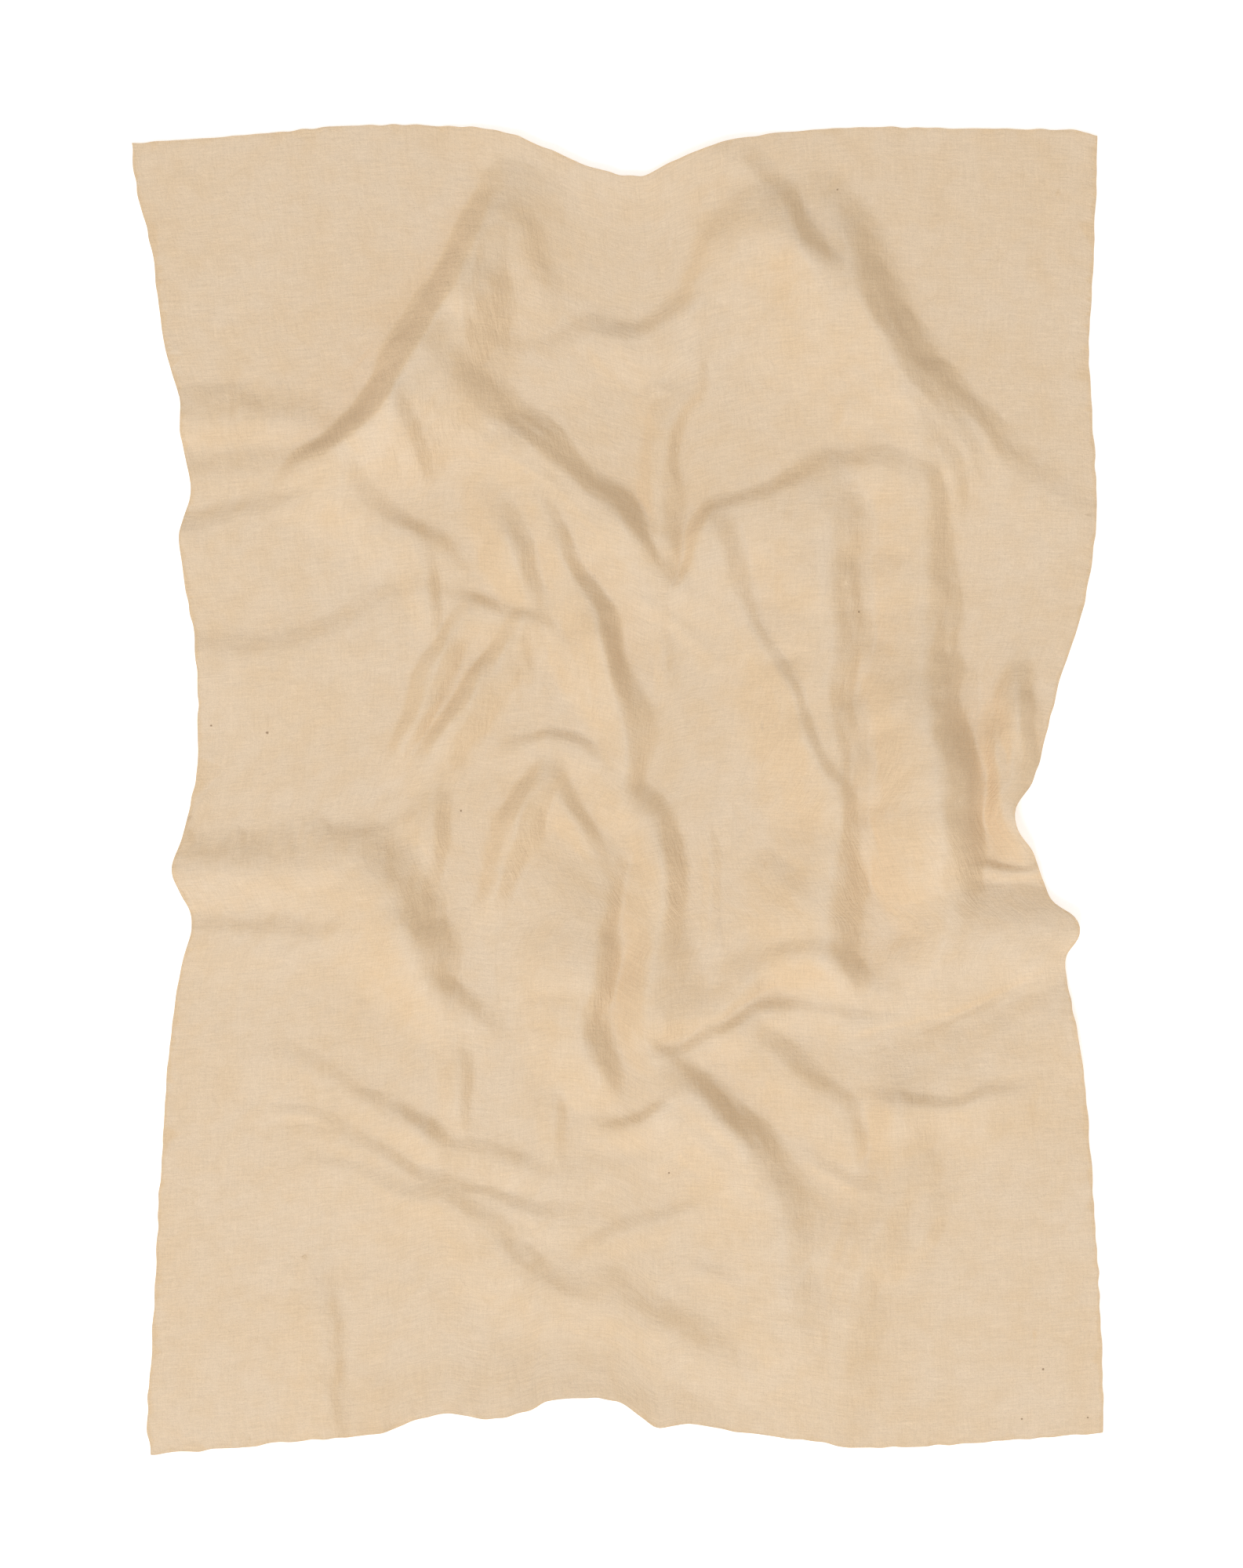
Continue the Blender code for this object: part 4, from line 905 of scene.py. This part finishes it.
def linen(name, sand, deep_and_shade, fleck, thread_pitch):
    """Washed linen: a plain weave of uneven threads, slubs both ways, soft blotches of dye, a few flecks,
    painted warm shade on steep flanks, a painted highlight on raised crests, and painted shade growing
    towards the head and the right.
    """
    finish = Finish(name)
    flat = finish.node("ShaderNodeUVMap", {"uv_map": "flat"})
    laid = finish.node("ShaderNodeTexCoord", {}, {}, "Object")
    to_right, to_head = finish.parts(laid)
    weave = woven(finish, flat, thread_pitch)
    slub_over, slub_down, grain, mottle, feather_down, feather_over = (
        finish.noise(flat, pattern) - 0.5
        for pattern in (SLUB_OVER, SLUB_DOWN, GRAIN, MOTTLE, FEATHER_DOWN, FEATHER_OVER))
    blotch, cloud, crinkle = (finish.noise(flat, pattern) for pattern in (BLOTCH, CLOUD, CRINKLE))
    steep_across, steep_along, raised = map(finish.mark, ("steep_across", "steep_along", "raised"))

    # Towards the deep sand: the dye's blotches and slubs, plus painted warm shade on steep flanks; raised
    # cloth is paler, a painted highlight.
    dye_and_painted_light = (blotch.ramp(0.34, 0.70) * 0.35 + cloud.ramp(0.30, 0.70) * 0.35 + (slub_over + 0.5) * 0.15
           + (steep_across * 2.2 + steep_along * 0.9) * 0.35 - raised * 0.22)
    # Painted shade: the cloth is darker towards the head and a little towards the right, where the light
    # falls off.
    painted_falloff = to_head * 0.030 + to_right * 0.012
    threads_and_painted_falloff = (1.0 + slub_over * 0.28 + slub_down * 0.18 + grain * 0.30 + mottle * 0.14 + weave * 0.05
                    + (feather_down + feather_over) * 0.06 - painted_falloff)
    shaded = finish.node("ShaderNodeCombineColor", {}, dict.fromkeys(("Red", "Green", "Blue"), threads_and_painted_falloff))
    colour = finish.mix(1.0, finish.mix(dye_and_painted_light, sand, deep_and_shade), shaded, "MULTIPLY")
    colour = flecked(finish, colour, laid, mottle, fleck)

    feather = (feather_down * (0.25 + steep_across * 1.8 + steep_along * 1.4)
               + feather_over * (0.25 + steep_along))
    relief = (weave * 0.10 + slub_over * 0.40 + slub_down * 0.28 + grain * 0.42 + mottle * 0.60
              + crinkle * 1.3 + feather * 1.5)
    bump = finish.node(
        "ShaderNodeBump", {}, {"Strength": 0.55, "Distance": BUMP_DEPTH, "Height": relief}, "Normal")
    finish.feed(finish.shader.inputs["Base Color"], colour)
    finish.feed(finish.shader.inputs["Roughness"], 0.86 + grain * 0.12)
    finish.feed(finish.shader.inputs["Normal"], bump)
    finish.shader.inputs["Sheen Weight"].default_value = 0.12
    finish.shader.inputs["Sheen Roughness"].default_value = 0.5
    finish.shader.inputs["Specular IOR Level"].default_value = 0.25
    return finish.material


def plain(name, colour, roughness, glow):
    finish = Finish(name)
    finish.shader.inputs["Base Color"].default_value = (*colour, 1.0)
    finish.shader.inputs["Roughness"].default_value = roughness
    finish.shader.inputs["Emission Color"].default_value = (1.0, 1.0, 1.0, 1.0)
    finish.shader.inputs["Emission Strength"].default_value = glow
    return finish.material


GRIDS = {}


def shared_grid(scene):
    """The fine surface, worked out once for both cloths."""
    if not GRIDS:
        GRIDS["cover"] = folded_grid(scene.cover_sizes)
    return GRIDS["cover"]


class DUVET_OT_back_cloth(bpy.types.Operator):
    """Lays the back panel, which rests on the surface under the front"""

    bl_idname = "duvet.back_cloth"
    bl_label = "Back Cloth"

    def execute(self, context):
        sizes, colours = context.scene.cover_sizes, context.scene.linen_colours
        mesh = surface_mesh("back_cloth", shared_grid(context.scene), sizes.back_faces)
        material = linen(
            "washed_linen_back", colours.underside, colours.deep_sand_and_shade, colours.fleck, sizes.thread_pitch)
        piece = cloth_piece("back_cloth", mesh, 0.0, sizes.cloth_thickness, material)
        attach(piece, "root")
        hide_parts("back_panel")
        return {"FINISHED"}


class DUVET_OT_front_cloth(bpy.types.Operator):
    """Lays the front panel with its folds, creases and puckers"""

    bl_idname = "duvet.front_cloth"
    bl_label = "Front Cloth"

    def execute(self, context):
        sizes, colours = context.scene.cover_sizes, context.scene.linen_colours
        mesh = surface_mesh("front_cloth", shared_grid(context.scene), sizes.front_faces)
        material = linen(
            "washed_linen_front", colours.sand, colours.deep_sand_and_shade, colours.fleck, sizes.thread_pitch)
        lift = sizes.cloth_thickness + sizes.panel_gap
        piece = cloth_piece("front_cloth", mesh, lift, sizes.cloth_thickness, material)
        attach(piece, "root")
        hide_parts("front_panel")
        return {"FINISHED"}


class DUVET_OT_stage(bpy.types.Operator):
    """Sets the pale floor, the soft lights and the camera straight above"""

    bl_idname = "duvet.stage"
    bl_label = "Stage"

    def execute(self, context):
        scene, look = context.scene, context.scene.stage_look
        floor_mesh = bpy.data.meshes.new("floor")
        bm = bmesh.new()
        bmesh.ops.create_grid(bm, x_segments=1, y_segments=1, size=FLOOR_HALF)
        bm.to_mesh(floor_mesh)
        bm.free()
        floor_mesh.materials.append(plain("floor_paint", look.floor_colour, 0.9, look.floor_glow))
        floor = bpy.data.objects.new("floor", floor_mesh)
        scene.collection.objects.link(floor)
        floor.location.z = -FLOOR_DROP

        world = bpy.data.worlds.new("studio")
        scene.world = world
        world.use_nodes = True
        fill = world.node_tree.nodes["Background"]
        fill.inputs["Color"].default_value = (*look.fill_colour, 1.0)
        fill.inputs["Strength"].default_value = look.fill_strength

        key = bpy.data.lights.new("key", "SUN")
        key.energy = look.key_strength
        key.angle = look.key_angle
        key.color = look.key_colour
        key_object = bpy.data.objects.new("key", key)
        key_object.rotation_euler = Vector(TO_KEY).to_track_quat("Z", "Y").to_euler()
        scene.collection.objects.link(key_object)

        lens = bpy.data.cameras.new("camera")
        lens.lens_unit = "MILLIMETERS"
        lens.lens = look.lens
        lens.sensor_width = FILM_WIDTH
        camera = bpy.data.objects.new("camera", lens)
        scene.collection.objects.link(camera)
        scene.camera = camera
        low, high = CAD_BOX
        metres_per_pixel = (high.x - low.x) / (COVER_RIGHT - COVER_LEFT)
        frame_height = PHOTO_HEIGHT * metres_per_pixel
        distance = frame_height * lens.lens / lens.sensor_width
        aside = PHOTO_WIDTH / 2 - (COVER_LEFT + COVER_RIGHT) / 2
        ahead = (COVER_TOP + COVER_FOOT) / 2 - PHOTO_HEIGHT / 2
        middle = (low + high) / 2
        camera.location = (
            middle.x + aside * metres_per_pixel, middle.y + ahead * metres_per_pixel, distance)
        lens.clip_start, lens.clip_end = NEAREST_SEEN, FARTHEST_SEEN
        scene.view_settings.view_transform = "Standard"
        return {"FINISHED"}


class DUVET_PT_cover(bpy.types.Panel):
    bl_label = "Crumpled Duvet Cover"
    bl_idname = "DUVET_PT_cover"
    bl_space_type = "VIEW_3D"
    bl_region_type = "UI"
    bl_category = "Duvet Cover"

    def draw(self, context):
        for group in (context.scene.cover_sizes, context.scene.linen_colours, context.scene.stage_look):
            box = self.layout.box()
            for name in group.__annotations__:
                box.prop(group, name)
        for operator in OPERATORS:
            self.layout.operator(operator.bl_idname)


GROUPS = {"cover_sizes": CoverSizes, "linen_colours": LinenColours, "stage_look": StageLook}
OPERATORS = (DUVET_OT_back_cloth, DUVET_OT_front_cloth, DUVET_OT_stage)


def register():
    for group in GROUPS.values():
        bpy.utils.register_class(group)
    for name, group in GROUPS.items():
        setattr(bpy.types.Scene, name, bpy.props.PointerProperty(type=group))
    for operator in OPERATORS:
        bpy.utils.register_class(operator)
    bpy.utils.register_class(DUVET_PT_cover)


def unregister():
    bpy.utils.unregister_class(DUVET_PT_cover)
    for operator in reversed(OPERATORS):
        bpy.utils.unregister_class(operator)
    for name, group in GROUPS.items():
        delattr(bpy.types.Scene, name)
        bpy.utils.unregister_class(group)


def main():
    register()
    bpy.ops.duvet.back_cloth()
    bpy.ops.duvet.front_cloth()
    bpy.ops.duvet.stage()


if __name__ == "__main__":
    main()
